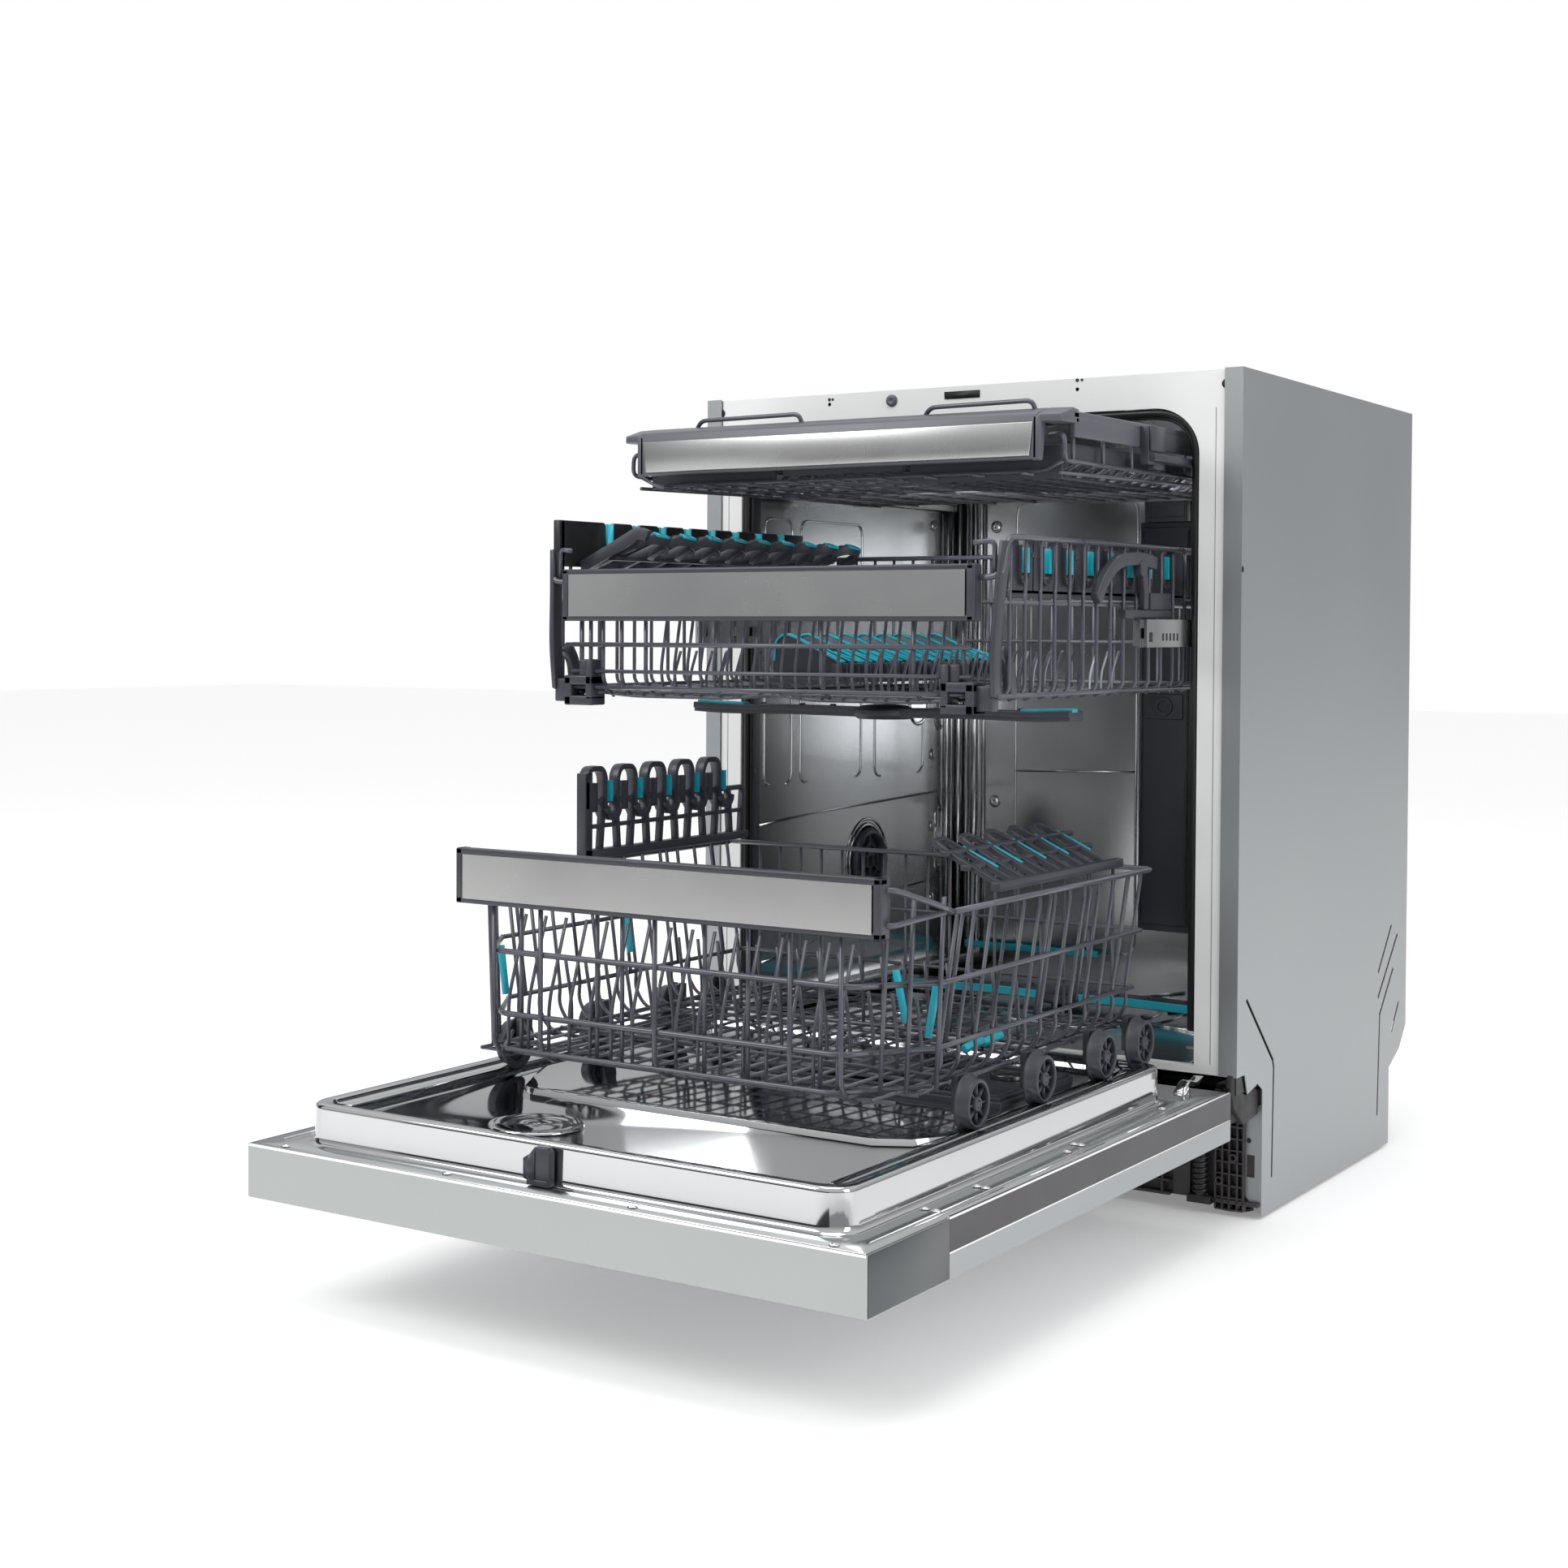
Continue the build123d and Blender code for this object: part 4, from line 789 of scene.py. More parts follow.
def tray():
    """The cutlery tray: bezel, face plate, wires, slats, guides and rail fittings."""
    bezel = Shape()
    y = TRAY_FRONT
    # a wedge over the plate: the lip slopes up and back, and reaches past the plate at both ends
    section = [(y - 1, 727), (y - 1, 766), (y + 1, 769), (y + 24, 774), (y + 34, 773), (y + 34, 766),
               (y + 8, 762), (y + 8, 727)]
    bezel.prism([at(-210, a, b) for a, b in section], HERE, Vector((0.420, 0, 0)))
    for side in (-1, 1):
        cap = [at(side * 209, y - 1, 760), at(side * 209, y - 1, 767), at(side * 209, y + 24, 774),
               at(side * 209, y + 36, 773),
               at(side * 209, y + 36, 760)]
        bezel.prism(cap, HERE, Vector((side * 0.022, 0.006, 0)))
        end = [at(side * 205, y - 1, 726), at(side * 205, y - 1, 766), at(side * 205, y + 12, 766),
               at(side * 205, y + 6, 726)]
        bezel.prism(end, HERE, Vector((side * 0.008, 0, 0)))
        # the frame's flat sides, back to the rails
        bezel.box(side * 231, side * 214, y + 30, TRAY_BACK, 764, 771)
        bezel.box(side * 231, side * 226, y + 34, TRAY_BACK, 748, 766)
    bezel.box(-231, 231, TRAY_BACK - 12, TRAY_BACK, 748, 771)
    bezel.make("tray_bezel", slate_light, "cutlery_tray", ["tray_frame"], "rack_plastic", bevel=1.6,
               segments=3)
    face = Shape()
    sheet = [at(-202, y - 1.4, 730), at(203, y - 1.4, 730), at(206, y - 1.4, 760), at(-205, y - 1.4, 760)]
    face.prism(sheet, HERE, Vector((0, -0.0012, 0)))
    face.make("tray_face_plate", plate_steel, "cutlery_tray", ["tray_plate"], "steel_plate", bevel=0.5)

    wires = Shape()
    for side in (-1, 1):
        path = [at(side * 210, y + 26, 750), at(side * 228, y + 16, 750), at(side * 229, y + 16, 729),
                at(side * 224, y + 30, 727),
                at(side * 224, TRAY_BACK - 6, 727)]
        wires.wire(bend(path, 7), 2.2)
        for k in spread(y + 44, TRAY_BACK - 20, 7):
            wires.wire([at(side * 224, k, 764), at(side * 224, k, 725)], 2.0)
        wires.wire([at(side * 222, y + 20, 716), at(side * 222, TRAY_BACK - 10, 722)], 1.8)
    for k in spread(y + 24, TRAY_BACK - 8, 13):
        wires.wire(bend([at(-224, k, 727), at(-206, k, 718), at(206, k, 718), at(224, k, 727)], 8), 1.7)
    for x in spread(-190, 190, 9):
        wires.wire([at(x, y + 12, 716), at(x, TRAY_BACK - 6, 716)], 1.6)
    for x0, x1 in ((-168, -42), (80, 196)):
        loop = [at(x0, y + 34, 768), at(x0 + 12, y + 26, 780.5), at(x1, y + 20, 781), at(x1 + 3, y + 22, 768)]
        wires.wire(bend(loop, 7), 2.2, 10)
    wires.make("tray_wires", wire_coat, "cutlery_tray", slot="wire_coat")

    slats = Shape()
    for x0, x1, dip in ((-218, -76, 12), (-68, 60, 4), (68, 218, 16)):
        for k in spread(y + 44, TRAY_BACK - 22, 17):
            zs = (732, 732 - dip)
            row = [at(x0, k, zs[0]), at(x0 + 14, k, zs[1]), at(x1 - 14, k, zs[1]), at(x1, k, zs[0])]
            strap(slats, bend(row, 6), (0, 1, 0), 6, 3)
        for x in spread(x0 + 14, x1 - 14, 6):
            slats.box(x - 1.5, x + 1.5, y + 36, TRAY_BACK - 16, 729 - dip, 732 - dip)
        slats.box(x0 - 1, x0 + 1.5, y + 36, TRAY_BACK - 16, 728, 744)
        slats.box(x1 - 1.5, x1 + 1, y + 36, TRAY_BACK - 16, 728, 744)
        slats.box(x0, x1, y + 34, y + 37, 728 - dip, 742)
        slats.box(x0, x1, TRAY_BACK - 18, TRAY_BACK - 15, 728 - dip, 742)
    slats.make("tray_slats", slate, "cutlery_tray", ["tray_inserts"], "rack_plastic", bevel=0.5)

    guides = Shape()
    for side in (-1, 1):
        guides.box(side * 231, side * 246, TRAY_FRONT + 182, TRAY_BACK - 6, 735, 742)
        guides.box(side * 231, side * 240, -84, -68, 732, 768)
        guides.box(side * 240, side * 243, -84, -50, 744, 768)
        guides.box(side * 232, side * 240, -70, -44, 728, 736)
    guides.make("tray_guides", slate, "cutlery_tray", slot="rack_plastic", bevel=1.0)

    # brackets that the upper rails and the height adjusters hang on
    rollers = Shape()
    for side in (-1, 1):
        for k in (60, 96, 132):
            rollers.ring(at(side * 246, k, 738), (side, 0, 0), [(2, -4), (9, -4), (10, -1), (9, 3), (2, 3)],
                         24)
    rollers.make("tray_rail_rollers", black_plastic, "cabinet", slot="trim_plastic")

    stamps = Shape()
    for side in (-1, 1):
        x0, x1 = side * 247.1, side * 247.48
        stamps.box(x0, x1, -98, -90, 566, 575)
        for k in range(5):
            stamps.box(x0, x1, -66 + k * 9, -62 + k * 9, 567, 574)
        for k in range(4):
            stamps.box(x0, x1, -6 + k * 12, -1 + k * 12, 564, 577)
    stamps.make("middle_rail_stamps", slot_black, "slide_members", slot="steel_rail")


tray()

# ---------------------------------------------------------------- door


def loop_points(half_x, y0, y1, z, radius, steps=8):
    """A rounded rectangle as a ring of points."""
    ring = []
    for cx, cy, start in ((half_x - radius, y1 - radius, 0), (-half_x + radius, y1 - radius, pi / 2),
                          (-half_x + radius, y0 + radius, pi), (half_x - radius, y0 + radius, 3 * pi / 2)):
        for i in range(steps + 1):
            a = start + pi / 2 * i / steps
            ring.append(at(cx + radius * math.cos(a), cy + radius * math.sin(a), z))
    return ring


def loft(shape, rings, tag=0, cap=True):
    """Skins a stack of equal rings, and closes the last ring when cap is set."""
    n = len(rings[0])
    verts = [p for ring in rings for p in ring]
    faces = []
    for k in range(len(rings) - 1):
        for i in range(n):
            j = (i + 1) % n
            faces.append((k * n + i, k * n + j, (k + 1) * n + j, (k + 1) * n + i))
    if cap:
        faces.append(tuple((len(rings) - 1) * n + i for i in range(n)))
    return shape.put(verts, faces, tag)


FLANGE_Z, RECESS_Z, TRACK_Z, RIM_Z = 138, 160, 168, 172.2
LINER_NEAR = -84


def liner():
    """The door's polished inner sheet, with its pressings, screws, hook and edge strips."""
    sheet = Shape()
    rings = [
        loop_points(294, -728, -12, 136.8, 3),
        loop_points(294, -728, -12, FLANGE_Z, 3),
        loop_points(266.5, -704.5, -79.5, FLANGE_Z, 27),
        loop_points(263.6, -701.6, -82.4, 138.7, 25),
        loop_points(262.2, -700.2, -83.8, 141, 24),
        loop_points(261.6, -699.6, -84, 144, 24),
        loop_points(261.2, -699.2, LINER_NEAR, TRACK_Z, 24),
        loop_points(260.5, -699, LINER_NEAR - 1, 171, 23.5),
        loop_points(258, -696.5, LINER_NEAR - 3.5, RIM_Z, 22),
        loop_points(251, -689.5, LINER_NEAR - 11, RIM_Z, 20),
        loop_points(248.5, -687, LINER_NEAR - 13.5, 171, 19),
        loop_points(247.6, -686, LINER_NEAR - 14.5, 168.6, 18),
        loop_points(234, -682, LINER_NEAR - 18, TRACK_Z, 16),
        loop_points(231.6, -680, LINER_NEAR - 20, 166.5, 14),
        loop_points(230.4, -678.5, LINER_NEAR - 21, 161.5, 12),
        loop_points(229, -676, LINER_NEAR - 23, RECESS_Z, 11),
    ]
    loft(sheet, rings[2:])
    sheet.make("liner_sheet", liner_steel, "door", ["door_liner"], "steel_liner", smooth=True)
    edge = Shape()
    loft(edge, rings[:3], cap=False)
    edge.make("liner_flange", flange_steel, "door", slot="steel_liner")

    # the floor inside the rim: a round dish, and a step up to the part under the dispenser
    relief = Shape()
    dish = [(41, 0.1), (40, 1.8), (37, 2.2), (30, 0.6), (26, 0.5), (0.4, 0.5), (0.4, 0.1)]
    relief.ring(at(-82, -608, RECESS_Z), (0, 0, 1), dish, 56)
    step = [at(-218, -416, 160.1), at(-176, -500, 160.1), at(-160, -507, 160.1), at(180, -507, 160.1),
            at(208, -490, 160.1),
            at(224, -462, 160.1), at(224, -120, 160.1), at(-218, -120, 160.1)]
    top = [p + (at(0, -300, 160) - p).normalized() * 0.007 + Vector((0, 0, 0.006)) for p in step]
    edge = [p + (at(0, -300, 160) - p).normalized() * 0.0015 + Vector((0, 0, 0.0052)) for p in step]
    loft(relief, [step, edge, top])
    for x0, x1 in ((-240, -232), (232, 240)):
        relief.box(x0, x1, -670, -110, 167.4, 168.4)
    relief.make("liner_pressings", liner_steel, "door", slot="steel_liner", bevel=0.8, segments=3)

    fixings = Shape()
    heads = [(258, -589), (280, -590), (256, -500), (278, -501), (253, -312), (276, -312), (277, -343),
             (275, -126),
             (-90, -718), (90, -718), (-261, -722), (266, -722), (-278, -500), (-278, -312)]
    for x, y in heads:
        x = math.copysign(max(abs(x), 270), x) if y > -700 else x
        fixings.ring(at(x, y, 139.0), (0, 0, 1), [(0.6, 0.1), (0.6, 0.7), (1.0, 0.9), (3.4, 0.5),
                                                  (4.2, -0.4), (3.0, -0.6)], 20)
        fixings.box(x - 2.2, x + 2.2, y - 0.35, y + 0.35, 139.6, 140.1)
        fixings.box(x - 0.35, x + 0.35, y - 2.2, y + 2.2, 139.6, 140.1)
    for side in (-1, 1):
        for k in range(3):
            y0 = -640 + k * 200
            strap(fixings, [at(side * 288, y0, 138.4), at(side * 288, y0 + 150, 138.4)], (1, 0, 0), 1.2, 0.8)
        strap(fixings, [at(side * 283, -700, 138.3), at(side * 283, -90, 138.3)], (1, 0, 0), 1.4, 0.8)
    fixings.make("liner_screws", chrome, "door", slot="steel_hinge")

    hook = Shape()
    y = -701
    block = [at(-17, y - 8.5, 139), at(5, y - 8.5, 139), at(5, y - 8.5, 166), at(2, y - 8.5, 169.5),
             at(-9, y - 8.5, 169.5), at(-17, y - 8.5, 160)]
    hook.prism(block, HERE, Vector((0, 0.0082, 0)))
    verts = [at(-20, y - 9, 160), at(-20, y - 9, 143), at(-8, y - 9, 140), at(-8, y - 9, 168),
             at(-14, y - 12, 153)]
    hook.put(verts, [(0, 1, 4), (1, 2, 4), (2, 3, 4), (3, 0, 4), (3, 2, 1, 0)])
    hook.box(-14, 4, y - 9.6, y - 8, 141, 144)
    hook.make("door_hook", slate, "door", ["door_latch"], "trim_plastic", bevel=0.7)
    # thin plates of the darker steel copy over the fascia's end faces: painted shade
    ends = Shape()
    for side in (-1, 1):
        ends.box(side * 296.9, side * 297.4, -729.5, -602.5, 92.6, 137.6)
    ends.make("fascia_end_faces", fascia_end_shade_steel, "door", slot="steel_fascia", bevel=0.3)
    lips = Shape()
    lips.box(-296, 296, -730.4, -729.6, 135.6, 138.4)
    for side in (-1, 1):
        lips.box(side * 294.5, side * 297.3, -602, -14, 137.2, 139.2)
        lips.box(side * 296.6, side * 297.4, -602, -12, 111.2, 112.6)
    lips.make("door_edge_strips", chrome, "door", slot="steel_fascia", bevel=0.25)


def dispenser():
    """The detergent and rinse aid unit: case, sliding lid and cap."""
    body = Shape()
    body.box(8, 214, -338, -186, 158, 171)
    body.box(11, 211, -335, -329, 166, 174.2)
    body.box(11, 211, -195, -189, 166, 174.2)
    body.box(11, 17, -332, -192, 166, 174.2)
    body.box(205, 211, -332, -192, 166, 174.2)
    body.box(110, 118, -332, -192, 166, 174.2)
    for k in range(8):
        body.box(124 + k * 4, 126 + k * 4, -316, -266, 171, 173)
    body.box(160, 202, -320, -262, 170, 173.4)
    body.make("dispenser_case", [slate], "door", ["dispenser_body"], "dispenser_plastic", bevel=1.4,
              segments=3)
    lid = Shape()
    lid.box(20, 100, -324, -196, 174.5, 176.6)
    lid.box(24, 96, -320, -200, 176.4, 177.2)
    lid.box(84, 92, -276, -244, 177, 179)
    lid.make("dispenser_sliding_lid", gloss_dark, "detergent_lid", ["dispenser_lid"], "dispenser_plastic",
             bevel=1.0, segments=3)
    cap = Shape()
    cap.ring(at(172, -232, 167), (0, 0, 1), [(0.4, 0), (16.9, 0), (16.9, 8), (15.8, 9.4), (13, 9.8),
                                             (12, 9), (0.4, 9)], 40)
    cap.box(157.5, 186.5, -234, -230, 174.6, 178.4)
    for k in range(24):
        a = 2 * pi * k / 24
        cap.box(172 + 16.2 * math.cos(a) - 0.5, 172 + 16.2 * math.cos(a) + 0.5,
                -232 + 16.2 * math.sin(a) - 0.5,
                -232 + 16.2 * math.sin(a) + 0.5, 168, 172)
    cap.make("rinse_aid_cap", gloss_dark, "rinse_filler", ["rinse_cap"], "dispenser_plastic", bevel=0.4)


liner()
dispenser()

# ---------------------------------------------------------------- tub and cabinet

WALL = 261.0
SUMP_Y = 285
REAR = 535.0


def pressed(shape, corners, radius=14, wide=3.2, loop=True):
    """A pressed line on a wall: a low rounded ridge along a path."""
    path = bend(corners + corners[:2], radius, 5)[1:-1] if loop else bend(corners, radius, 5)
    shape.wire(path, wide / 2, 8)


def tub_pressings():
    """Everything fixed to the tub's walls: pressed lines, port, lamps, vent, duct and seal."""
    ridges = Shape()
    for side in (-1, 1):
        x = side * WALL
        for y0, y1, z0, z1 in ((60, 120, 402, 700), (140, 284, 402, 560), (318, 444, 400, 560),
                               (140, 284, 600, 700)):
            pressed(ridges, [at(x, y0, z0), at(x, y1, z0), at(x, y1, z1), at(x, y0, z1)])
        pressed(ridges, [at(x, 30, 358), at(x, 200, 366), at(x, 526, 374)], loop=False)
        pressed(ridges, [at(x, 526, 266), at(x, 340, 258), at(x, 150, 210), at(x, 40, 205)], loop=False)
        # upright slots with pressed rims
        for z0, z1 in ((272, 352), (452, 536)):
            path = [at(x, 478, z0 + 8), at(x, 478, z1 - 8), at(x, 484, z1), at(x, 492, z1),
                    at(x, 496, z1 - 8), at(x, 496, z0 + 8),
                    at(x, 492, z0), at(x, 484, z0)]
            ridges.wire(path, 2.0, 8, loop=True)
        for z in (240, 330, 420, 640, 706):
            ridges.ring(at(x, 470, z), (-side, 0, 0), [(0.4, 0), (7, 0), (6, 2), (3, 3.2), (0.4, 3.4)], 20)
    # the back
    y = REAR
    for x0, x1 in ((-178, -20), (58, 178)):
        pressed(ridges, [at(x0, y, 180), at(x1, y, 180), at(x1, y, 736), at(x0, y, 736)], radius=18)
        pressed(ridges, [at(x0, y, 400), at(x1, y, 404)], loop=False)
    for x in (-206, 206):
        for z in (360, 560, 706):
            ridges.ring(at(x, y, z), (0, -1, 0), [(0.4, 0), (8, 0), (7, 2), (4, 4), (0.4, 4.4)], 20)
    # floor falls towards the sump
    for r in (104, 128):
        ridges.ring(at(0, SUMP_Y, 151), (0, 0, 1), [(r - 2.5, 0), (r, 1.6), (r + 2.5, 0)], 56)
    for a in spread(0.3, 2 * pi - 0.4, 7):
        c, s = math.cos(a), math.sin(a)
        ridges.wire([at(112 * c, SUMP_Y + 112 * s, 151.4), at(210 * c, SUMP_Y + 190 * s, 152.4)], 2.2)
    # ribbed upright corners at the back
    for side in (-1, 1):
        for dx, dy in ((1, 40), (3, 17), (17, 3), (40, 1)):
            ridges.wire([at(side * (WALL - dx + 1), REAR - dy + 1, 166), at(side * (WALL - dx + 1),
                    REAR - dy + 1, 786)], 3.4, 10)
    ridges.make("tub_pressings", tub_steel, "cabinet", slot="steel_tub")
    # chrome posts, lighter than the tub steel, down the back corners: painted highlight
    posts = Shape()
    for side in (-1, 1):
        for dx, dy in ((1, 27), (8, 8), (27, 1)):
            posts.wire([at(side * (WALL - dx), REAR - dy, 170), at(side * (WALL - dx), REAR - dy, 784)],
                       5.2, 12)
    posts.make("tub_corner_highlight_ribs", chrome, "cabinet", slot="steel_tub")

    dark = Shape()
    for side in (-1, 1):
        for z0, z1 in ((277, 347), (457, 531)):
            dark.box(side * 260.6, side * 261, 482, 492, z0, z1)
    dark.make("tub_slot_shadows", chrome, "cabinet", slot="steel_tub")

    port = Shape()
    port.ring(at(-WALL, 431, 482), (1, 0, 0), [(0.4, 0.2), (19, 0.2), (20, 1.4), (22, 2.2), (24, 1.6),
                                               (25, 0.1)], 40)
    port.make("tub_port_rim", chrome, "cabinet", slot="steel_tub")
    glow = Shape()
    glow.ring(at(-WALL, 431, 482), (1, 0, 0), [(0.4, 0.6), (18.4, 0.6), (18.8, 1.2), (17, 2.0), (0.4, 2.2)],
              40)
    glow.make("tub_port_window", port_lens, "cabinet", slot="lamp_lens")
    lamps = Shape()
    for x in (-175, 175):
        lamps.ring(at(x, 44, 801.4), (0, 0, -1), [(0.4, 0), (17.6, 0), (17.6, 8), (15.5, 11), (8, 12),
                                                  (0.4, 12)], 36)
    lamps.make("lamp_lenses", lamp_lens, "cabinet", ["ceiling_lamps"], "lamp_lens")

    vent = Shape()
    c = at(-258, 300, 300)
    vent.ring(c, (1, 0, 0), [(31, -7), (38.5, -3), (39, 1), (37, 4.5), (33, 5.6), (31, 3)], 48)
    vent.ring(c, (1, 0, 0), [(0.4, -5), (31, -5), (31, -3), (0.4, -3)], 48)
    vent.ring(c, (1, 0, 0), [(7, -3), (11, -3), (11, 2.6), (7, 2.6)], 6)
    for k in range(6):
        a = pi / 6 + k * pi / 3
        d = Vector((0, math.cos(a), math.sin(a)))
        strap(vent, [c + d * 0.010, c + d * 0.0315], (1, 0, 0), 5, 2.4)
        tip, nxt = c + d * 0.022, c + Vector((0, math.cos(a + pi / 3), math.sin(a + pi / 3))) * 0.022
        strap(vent, [tip, nxt], (1, 0, 0), 5, 2.0)
    vent.make("fan_vent_grille", slate, "cabinet", ["fan_vent"], "trim_plastic", bevel=0.4)
    halo = Shape()
    halo.ring(c, (1, 0, 0), [(40, -3), (43, -0.5), (46, -2.6)], 56)
    halo.ring(c, (1, 0, 0), [(48, -3), (50, -1.2), (52, -2.8)], 56)
    halo.make("fan_vent_pressing", tub_steel, "cabinet", slot="steel_tub")

    duct = Shape()
    duct.box(-12, 52, 524, 534.6, 214, 706)
    duct.box(-10, 50, 521, 526, 222, 700)
    duct.box(-6, 46, 520, 534, 706, 748)
    duct.box(-4, 44, 518.5, 521, 712, 744)
    duct.box(8, 34, 516, 534, 748, 771)
    duct.ring(at(2, 519, 736), (0, -1, 0), [(2, -1), (4.6, -1), (4.6, 2), (2.4, 2)], 24)
    duct.box(-4, 44, 518, 522, 470, 500)
    duct.ring(at(20, 519, 485), (0, -1, 0), [(6, -1), (12, -1), (12, 3.5), (6, 3.5)], 32)
    for x in (-8, 48):
        duct.box(x - 1.2, x + 1.2, 519, 522, 226, 696)
    duct.make("feed_duct_cover", slate, "cabinet", ["feed_duct"], "trim_plastic", bevel=1.2, segments=3)

    seal = Shape()
    x, top, low = 252, 788, 190
    path = [at(-x, 7, low), at(-x, 7, top), at(x, 7, top), at(x, 7, low)]
    for d, depth, r in ((0, 0, 3.6), (4, 4, 2.2)):
        inner = [at(-x + d, 7 + depth, low), at(-x + d, 7 + depth, top - d), at(x - d, 7 + depth, top - d),
                 at(x - d, 7 + depth, low)]
        seal.wire(bend(inner, 44, 10), r, 10)
    seal.make("tub_seal", rubber, "cabinet", ["tub_gasket"], "gasket_rubber")


def opening_shadow_strips():
    """Dark slate strips just inside the opening, standing in for the shaded front return of the tub: painted
    shadow.
    """
    strips = Shape()
    for side in (-1, 1):
        strips.box(side * 250.5, side * 259, 12, 34, 196, 780)
        for z in (230, 420, 610, 760):
            strips.ring(at(side * 250.4, 22, z), (-side, 0, 0), [(0.4, -1), (4, -1), (3.6, 1.4),
                                                                 (0.4, 1.8)], 18)
    strips.make("opening_painted_shadow", slate, "cabinet", slot="trim_plastic", bevel=0.8)


def lower_blade():
    """The spray arm in the tub floor, and the strips low on the back wall."""
    blade = Shape()
    z = 160
    for sign in (-1, 1):
        path = [at(sign * 8, SUMP_Y, z + 5), at(sign * 80, 289, z + 6), at(sign * 150, 284, z + 5),
                at(sign * 204, 276, z + 6)]
        strap(blade, bend(path, 30, 5), (0, 1, 0), 34, 9)
        lift = [p + Vector((0, -0.0178, 0.001)) for p in path]
        strap(blade, bend(lift, 30, 5), (0, 1, 0), 3, 9, 1)
        for x in (60, 95, 140, 180):
            blade.ring(at(sign * x, 287, z + 10), (0, 0, 1), [(1.4, 0), (3.2, 0), (3.0, 1.6), (1.6, 1.6)], 16)
    blade.ring(at(0, SUMP_Y, z), (0, 0, 1), [(0.5, -38), (5.8, -38), (5.8, -3), (26, -2), (30, 3), (30, 9),
                                          (20, 13), (10, 14), (0.5, 14)], 40)
    blade.make("lower_spray_blade", [slate, teal], "lower_arm", ["lower_spray_arm"], "rack_plastic",
               bevel=1.0, segments=3)
    strip = Shape()
    for x0, x1 in ((-238, -60), (60, 238)):
        strip.box(x0, x1, REAR - 18, REAR - 16, 176, 184)
    strip.make("tub_rear_strips", teal, "cabinet", slot="trim_plastic", bevel=0.6)


def base():
    """Ribbed plastic behind the plinth face, threaded feet and the leg's honeycomb."""
    ribs = Shape()
    for side in (-1, 1):
        x0, x1 = side * 254, side * 282
        for z in spread(6, 124, 11):
            ribs.box(x0, x1, 67, 75, z - 0.9, z + 0.9)
        for x in (254, 261, 268, 276, 282):
            ribs.box(side * x - 0.9, side * x + 0.9, 67, 75, 6, 124)
        for x, z in ((258, 34), (272, 58), (258, 84), (272, 106)):
            ribs.ring(at(side * x, 66.6, z), (0, -1, 0), [(1.8, -8), (4.4, -8), (4.2, 1), (2.4, 1)], 20)
        ribs.box(side * 244, side * 297, 67, 76, -0.2 + 12, 16)
        ribs.box(side * 210, side * 228, 70, 75, 14, 118)
        ribs.ring(at(side * 216, 69.6, 72), (0, -1, 0), [(3, -5), (6.5, -5), (6.5, 1), (3, 1)], 24)
    ribs.box(-208, 208, 70, 75, 90, 98)
    for x in spread(-200, 200, 9):
        ribs.box(x - 1, x + 1, 66, 76, 13, 42)
    ribs.box(-208, 208, 66, 76, 12, 15)
    ribs.box(-208, 208, 66, 76, 40, 43)
    ribs.box(-208, 208, 66, 76, 26, 28)
    ribs.make("base_ribs", base_plastic, "cabinet", slot="base_plastic", bevel=0.5)

    threads = Shape()
    for x, y in ((-262, 102), (262, 102), (0, 462)):
        threads.ring(at(x, y, 0), (0, 0, 1), [(0.5, 0.2), (17, 0.2), (19.8, 1), (19.8, 4), (17, 6),
                                              (8, 6.4), (0.5, 6.4)], 36)
        threads.ring(at(x, y, 6), (0, 0, 1), [(0.5, 0), (10, 0), (10, 6), (0.5, 6)], 6)
        turn = []
        for i in range(12 * 9):
            a = 2 * pi * i / 12
            turn.append(at(x + 5.6 * math.cos(a), y + 5.6 * math.sin(a), 10 + 34 * i / (12 * 9)))
        threads.wire(turn, 1.1, 6)
        threads.ring(at(x, y, 10), (0, 0, 1), [(0.5, 0), (5.4, 0), (5.4, 34), (0.5, 34)], 24)
    threads.make("adjustable_feet", black_plastic, "cabinet", ["feet"], "trim_plastic")
    # worm screws that stand beside the front legs
    worms = Shape()
    for side in (-1, 1):
        x, y = side * 240, 66
        coil = [at(x + 6.4 * math.cos(2 * pi * i / 12), y + 6.4 * math.sin(2 * pi * i / 12),
                   18 + 76 * i / 168) for i in range(168)]
        worms.wire(coil, 1.7, 6)
        worms.ring(at(x, y, 16), (0, 0, 1), [(0.5, 0), (6, 0), (6, 82), (0.5, 82)], 24)
        worms.box(x - 12, x + 12, y - 6, y + 10, 10, 18)
    worms.make("leg_screws", black_plastic, "cabinet", slot="trim_plastic", bevel=0.5)

    covers = Shape()
    for side in (-1, 1):
        outline = [at(side * 290, a, b) for a, b in ((-2, 150), (6, 158), (16, 158), (24, 150), (26, 132),
                                                     (36, 128), (58, 134),
                                                      (70, 126), (70, 104), (30, 100), (4, 120), (-6, 140))]
        covers.prism(outline, HERE, Vector((side * 0.0055, 0, 0)))
    covers.make("hinge_covers", cover_black, "cabinet", slot="trim_plastic", bevel=0.8)
    lever = Shape()
    for side in (-1, 1):
        path = [at(side * 268, -70, 142), at(side * 268, -52, 152), at(side * 268, -34, 146), at(side * 268,
                -16, 150)]
        strap(lever, bend(path, 14, 5), (1, 0, 0), 9, 4)
        lever.ring(at(side * 273, -64, 143), (side, 0, 0), [(0.5, 0), (8, 0), (8, 2), (5, 3), (0.5, 3)], 28)
    lever.make("hinge_straps", chrome, "door", slot="steel_hinge", bevel=0.6)


def side_backing():
    """The dark felt that is seen through the slots in the side panels."""
    felt = Shape()
    for side in (-1, 1):
        felt.box(side * 294, side * 296.6, 6, 452, 132, 344)
        for z in (180, 240, 300):
            felt.box(side * 293, side * 294.5, 20, 440, z, z + 2)
    felt.make("side_felt", rubber, "cabinet", slot="gasket_rubber", bevel=0.4)


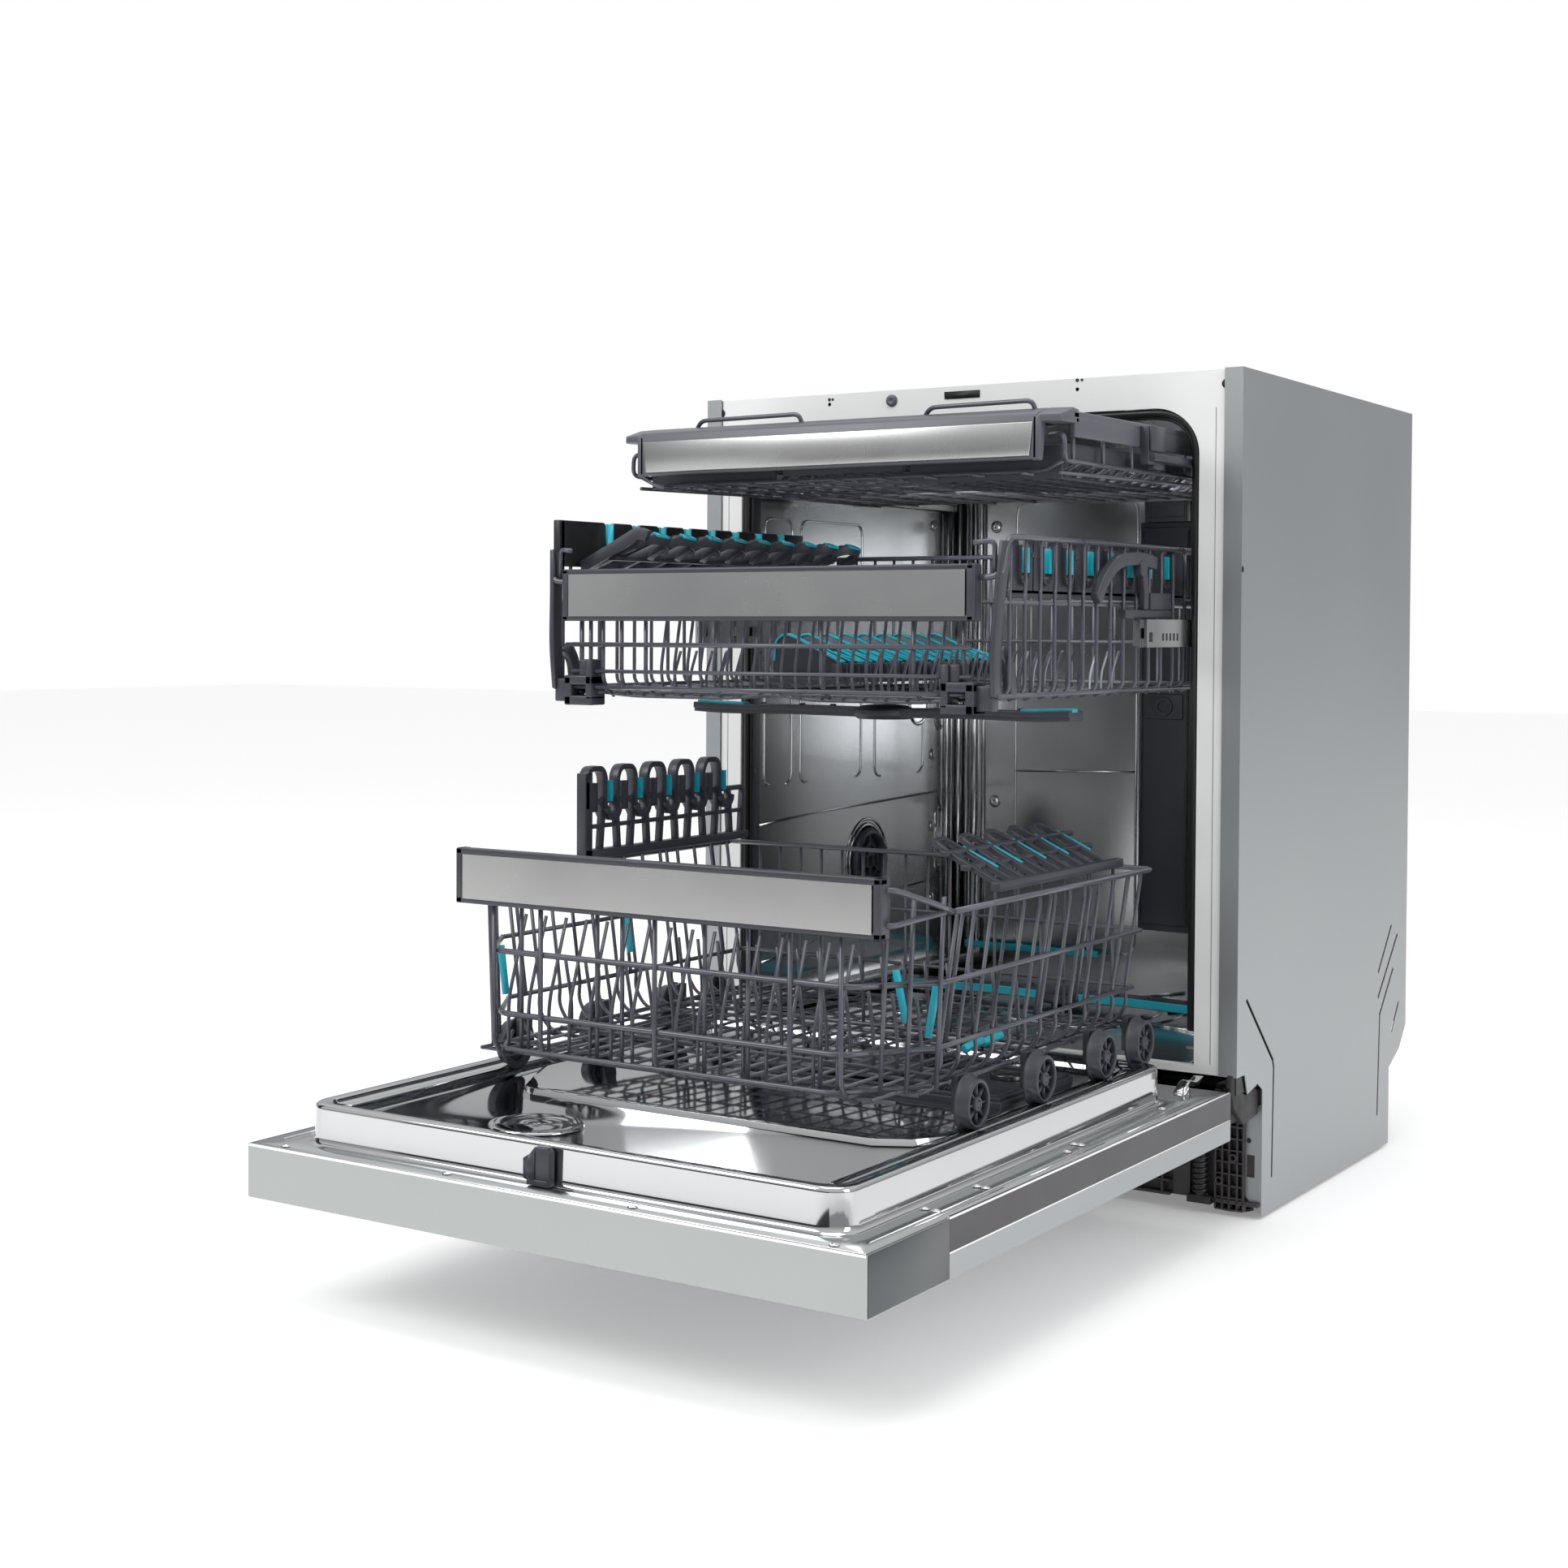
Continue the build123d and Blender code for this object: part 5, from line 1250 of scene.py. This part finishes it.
def front_beam():
    """The holes, plug and seams in the front frame."""
    beam = Shape()
    for x, z, r in ((-282, 812, 4.5), (282, 812, 4.5), (-148, 820, 1.8), (-144, 820, 1.4), (131, 824, 1.8),
                    (136, 824, 1.4)):
        beam.ring(at(x, 1.9, z), (0, -1, 0), [(0.3, -0.4), (r, -0.4), (r, 0.2), (0.3, 0.2)], 24)
    beam.box(-12, 26, 1.2, 2.2, 813, 820)
    for side in (-1, 1):
        beam.ring(at(side * 299, 3, 635), (side, 0, 0), [(0.3, -0.4), (3.0, -0.4), (3.0, 0.25),
                                                         (0.3, 0.25)], 20)
    beam.make("beam_holes", slot_black, "cabinet", slot="frame_coat")
    plug = Shape()
    plug.ring(at(-74, 2, 815), (0, -1, 0), [(0.3, -0.3), (6.4, -0.3), (6.2, 1.4), (4.4, 2.2), (0.3, 2.4)], 32)
    plug.make("beam_plug", slate_light, "cabinet", slot="trim_plastic")
    seams = Shape()
    for side in (-1, 1):
        seams.box(side * 280.4, side * 281, 1.7, 2.1, 152, 826)
        seams.box(side * 272, side * 272.4, 1.7, 2.05, 160, 790)
    seams.make("frame_seams", slate_light, "cabinet", slot="frame_coat")


tub_pressings()
opening_shadow_strips()
lower_blade()
base()
front_beam()
side_backing()

# ---------------------------------------------------------------- stage, light and camera

floor_mat = material("studio_floor", (0.92, 0.92, 0.92), rough=0.6, vary=0.01, scale=2)
glow = floor_mat.node_tree.nodes["Principled BSDF"].inputs
glow["Emission Color"].default_value = (1, 1, 1, 1)
glow["Emission Strength"].default_value = 0.22
bpy.ops.mesh.primitive_plane_add(size=30, location=(0, 0, -0.0005))
stage = bpy.context.object
stage.name = "studio_floor"
stage.data.materials.append(floor_mat)


def studio_world():
    """Seen directly it is plain white; as light and reflection it is a soft studio, darker low and behind."""
    world = bpy.data.worlds.new("studio")
    bpy.context.scene.world = world
    world.use_nodes = True
    nt = world.node_tree
    out = nt.nodes["World Output"]
    sky = nt.nodes["Background"]
    place = nt.nodes.new("ShaderNodeTexCoord")
    parts = nt.nodes.new("ShaderNodeSeparateXYZ")
    nt.links.new(place.outputs["Generated"], parts.inputs["Vector"])
    ramp = nt.nodes.new("ShaderNodeValToRGB")
    ramp.color_ramp.elements[0].position = 0.0
    ramp.color_ramp.elements[0].color = (0.42, 0.43, 0.45, 1)
    ramp.color_ramp.elements[1].position = 0.55
    ramp.color_ramp.elements[1].color = (1.0, 1.0, 1.0, 1)
    nt.links.new(parts.outputs["Z"], ramp.inputs["Fac"])
    nt.links.new(ramp.outputs["Color"], sky.inputs["Color"])
    sky.inputs["Strength"].default_value = 0.85
    plain = nt.nodes.new("ShaderNodeBackground")
    plain.inputs["Color"].default_value = (1, 1, 1, 1)
    plain.inputs["Strength"].default_value = 1.0
    path = nt.nodes.new("ShaderNodeLightPath")
    mix = nt.nodes.new("ShaderNodeMixShader")
    nt.links.new(path.outputs["Is Camera Ray"], mix.inputs["Fac"])
    nt.links.new(sky.outputs["Background"], mix.inputs[1])
    nt.links.new(plain.outputs["Background"], mix.inputs[2])
    nt.links.new(mix.outputs["Shader"], out.inputs["Surface"])


studio_world()
bpy.context.scene.view_settings.view_transform = "Standard"


def area_light(name, place, target, width, tall, power):
    """A rectangular lamp aimed at a point."""
    light = bpy.data.lights.new(name, "AREA")
    light.shape = "RECTANGLE"
    light.size, light.size_y = width, tall
    light.energy = power
    lamp = bpy.data.objects.new(name, light)
    bpy.context.scene.collection.objects.link(lamp)
    lamp.location = place
    aim = Vector(target) - Vector(place)
    lamp.rotation_euler = aim.to_track_quat("-Z", "Y").to_euler()


def dark_card(name, place, target, width, tall):
    """A black flag out of the camera's sight, there only to be mirrored in the steel."""
    bpy.ops.mesh.primitive_plane_add(size=1, location=place)
    card = bpy.context.object
    card.name = name
    card.scale = (width, tall, 1)
    card.rotation_euler = (Vector(target) - Vector(place)).to_track_quat("Z", "Y").to_euler()
    card.data.materials.append(card_black)
    card.visible_camera = False
    card.visible_diffuse = False
    card.visible_shadow = False


card_black = material("card_black", (0.02, 0.02, 0.022), rough=0.8, vary=0.2)
dark_card("flag_floor", (0.86, -1.02, 0.004), (0.86, -1.02, 2), 0.42, 0.34)
dark_card("flag_front", (-0.3, -2.6, 0.30), (0, -0.7, 0.15), 3.0, 0.5)
dark_card("flag_left", (-2.0, -0.9, 0.9), (0, -0.4, 0.3), 0.8, 1.6)
dark_card("flag_back", (-1.0, 2.4, 1.2), (0, 0, 0.3), 1.2, 1.4)

area_light("key", (-1.6, -2.6, 2.6), (0, 0, 0.4), 1.6, 1.6, 52)
area_light("side", (3.2, -0.6, 1.6), (0.3, 0.1, 0.4), 1.2, 2.0, 22)
area_light("top", (0.2, -0.4, 3.2), (0, 0, 0.3), 2.0, 2.0, 38)
area_light("tub_fill", (0.10, front + 0.02, 0.70), (-0.05, front + 0.5, 0.40), 0.36, 0.10, 0.35)
area_light("tub_low", (0.16, front - 0.02, 0.48), (-0.15, front + 0.5, 0.42), 0.12, 0.20, 0.25)

eye = bpy.data.cameras.new("photo_camera")
eye.sensor_width = 36
eye.lens = 53.67
eye.shift_x = 0.1548
eye.shift_y = -0.0670
camera = bpy.data.objects.new("photo_camera", eye)
bpy.context.scene.collection.objects.link(camera)
yaw, pitch, roll = math.radians(36.284), math.radians(1.278), math.radians(0.176)
camera.location = (1.0769, front - 2.1814, 0.5784)
look = Matrix.Rotation(yaw, 4, "Z") @ Matrix.Rotation(pi / 2 - pitch, 4, "X") @ Matrix.Rotation(roll, 4, "Z")
camera.rotation_euler = look.to_euler()
bpy.context.scene.camera = camera
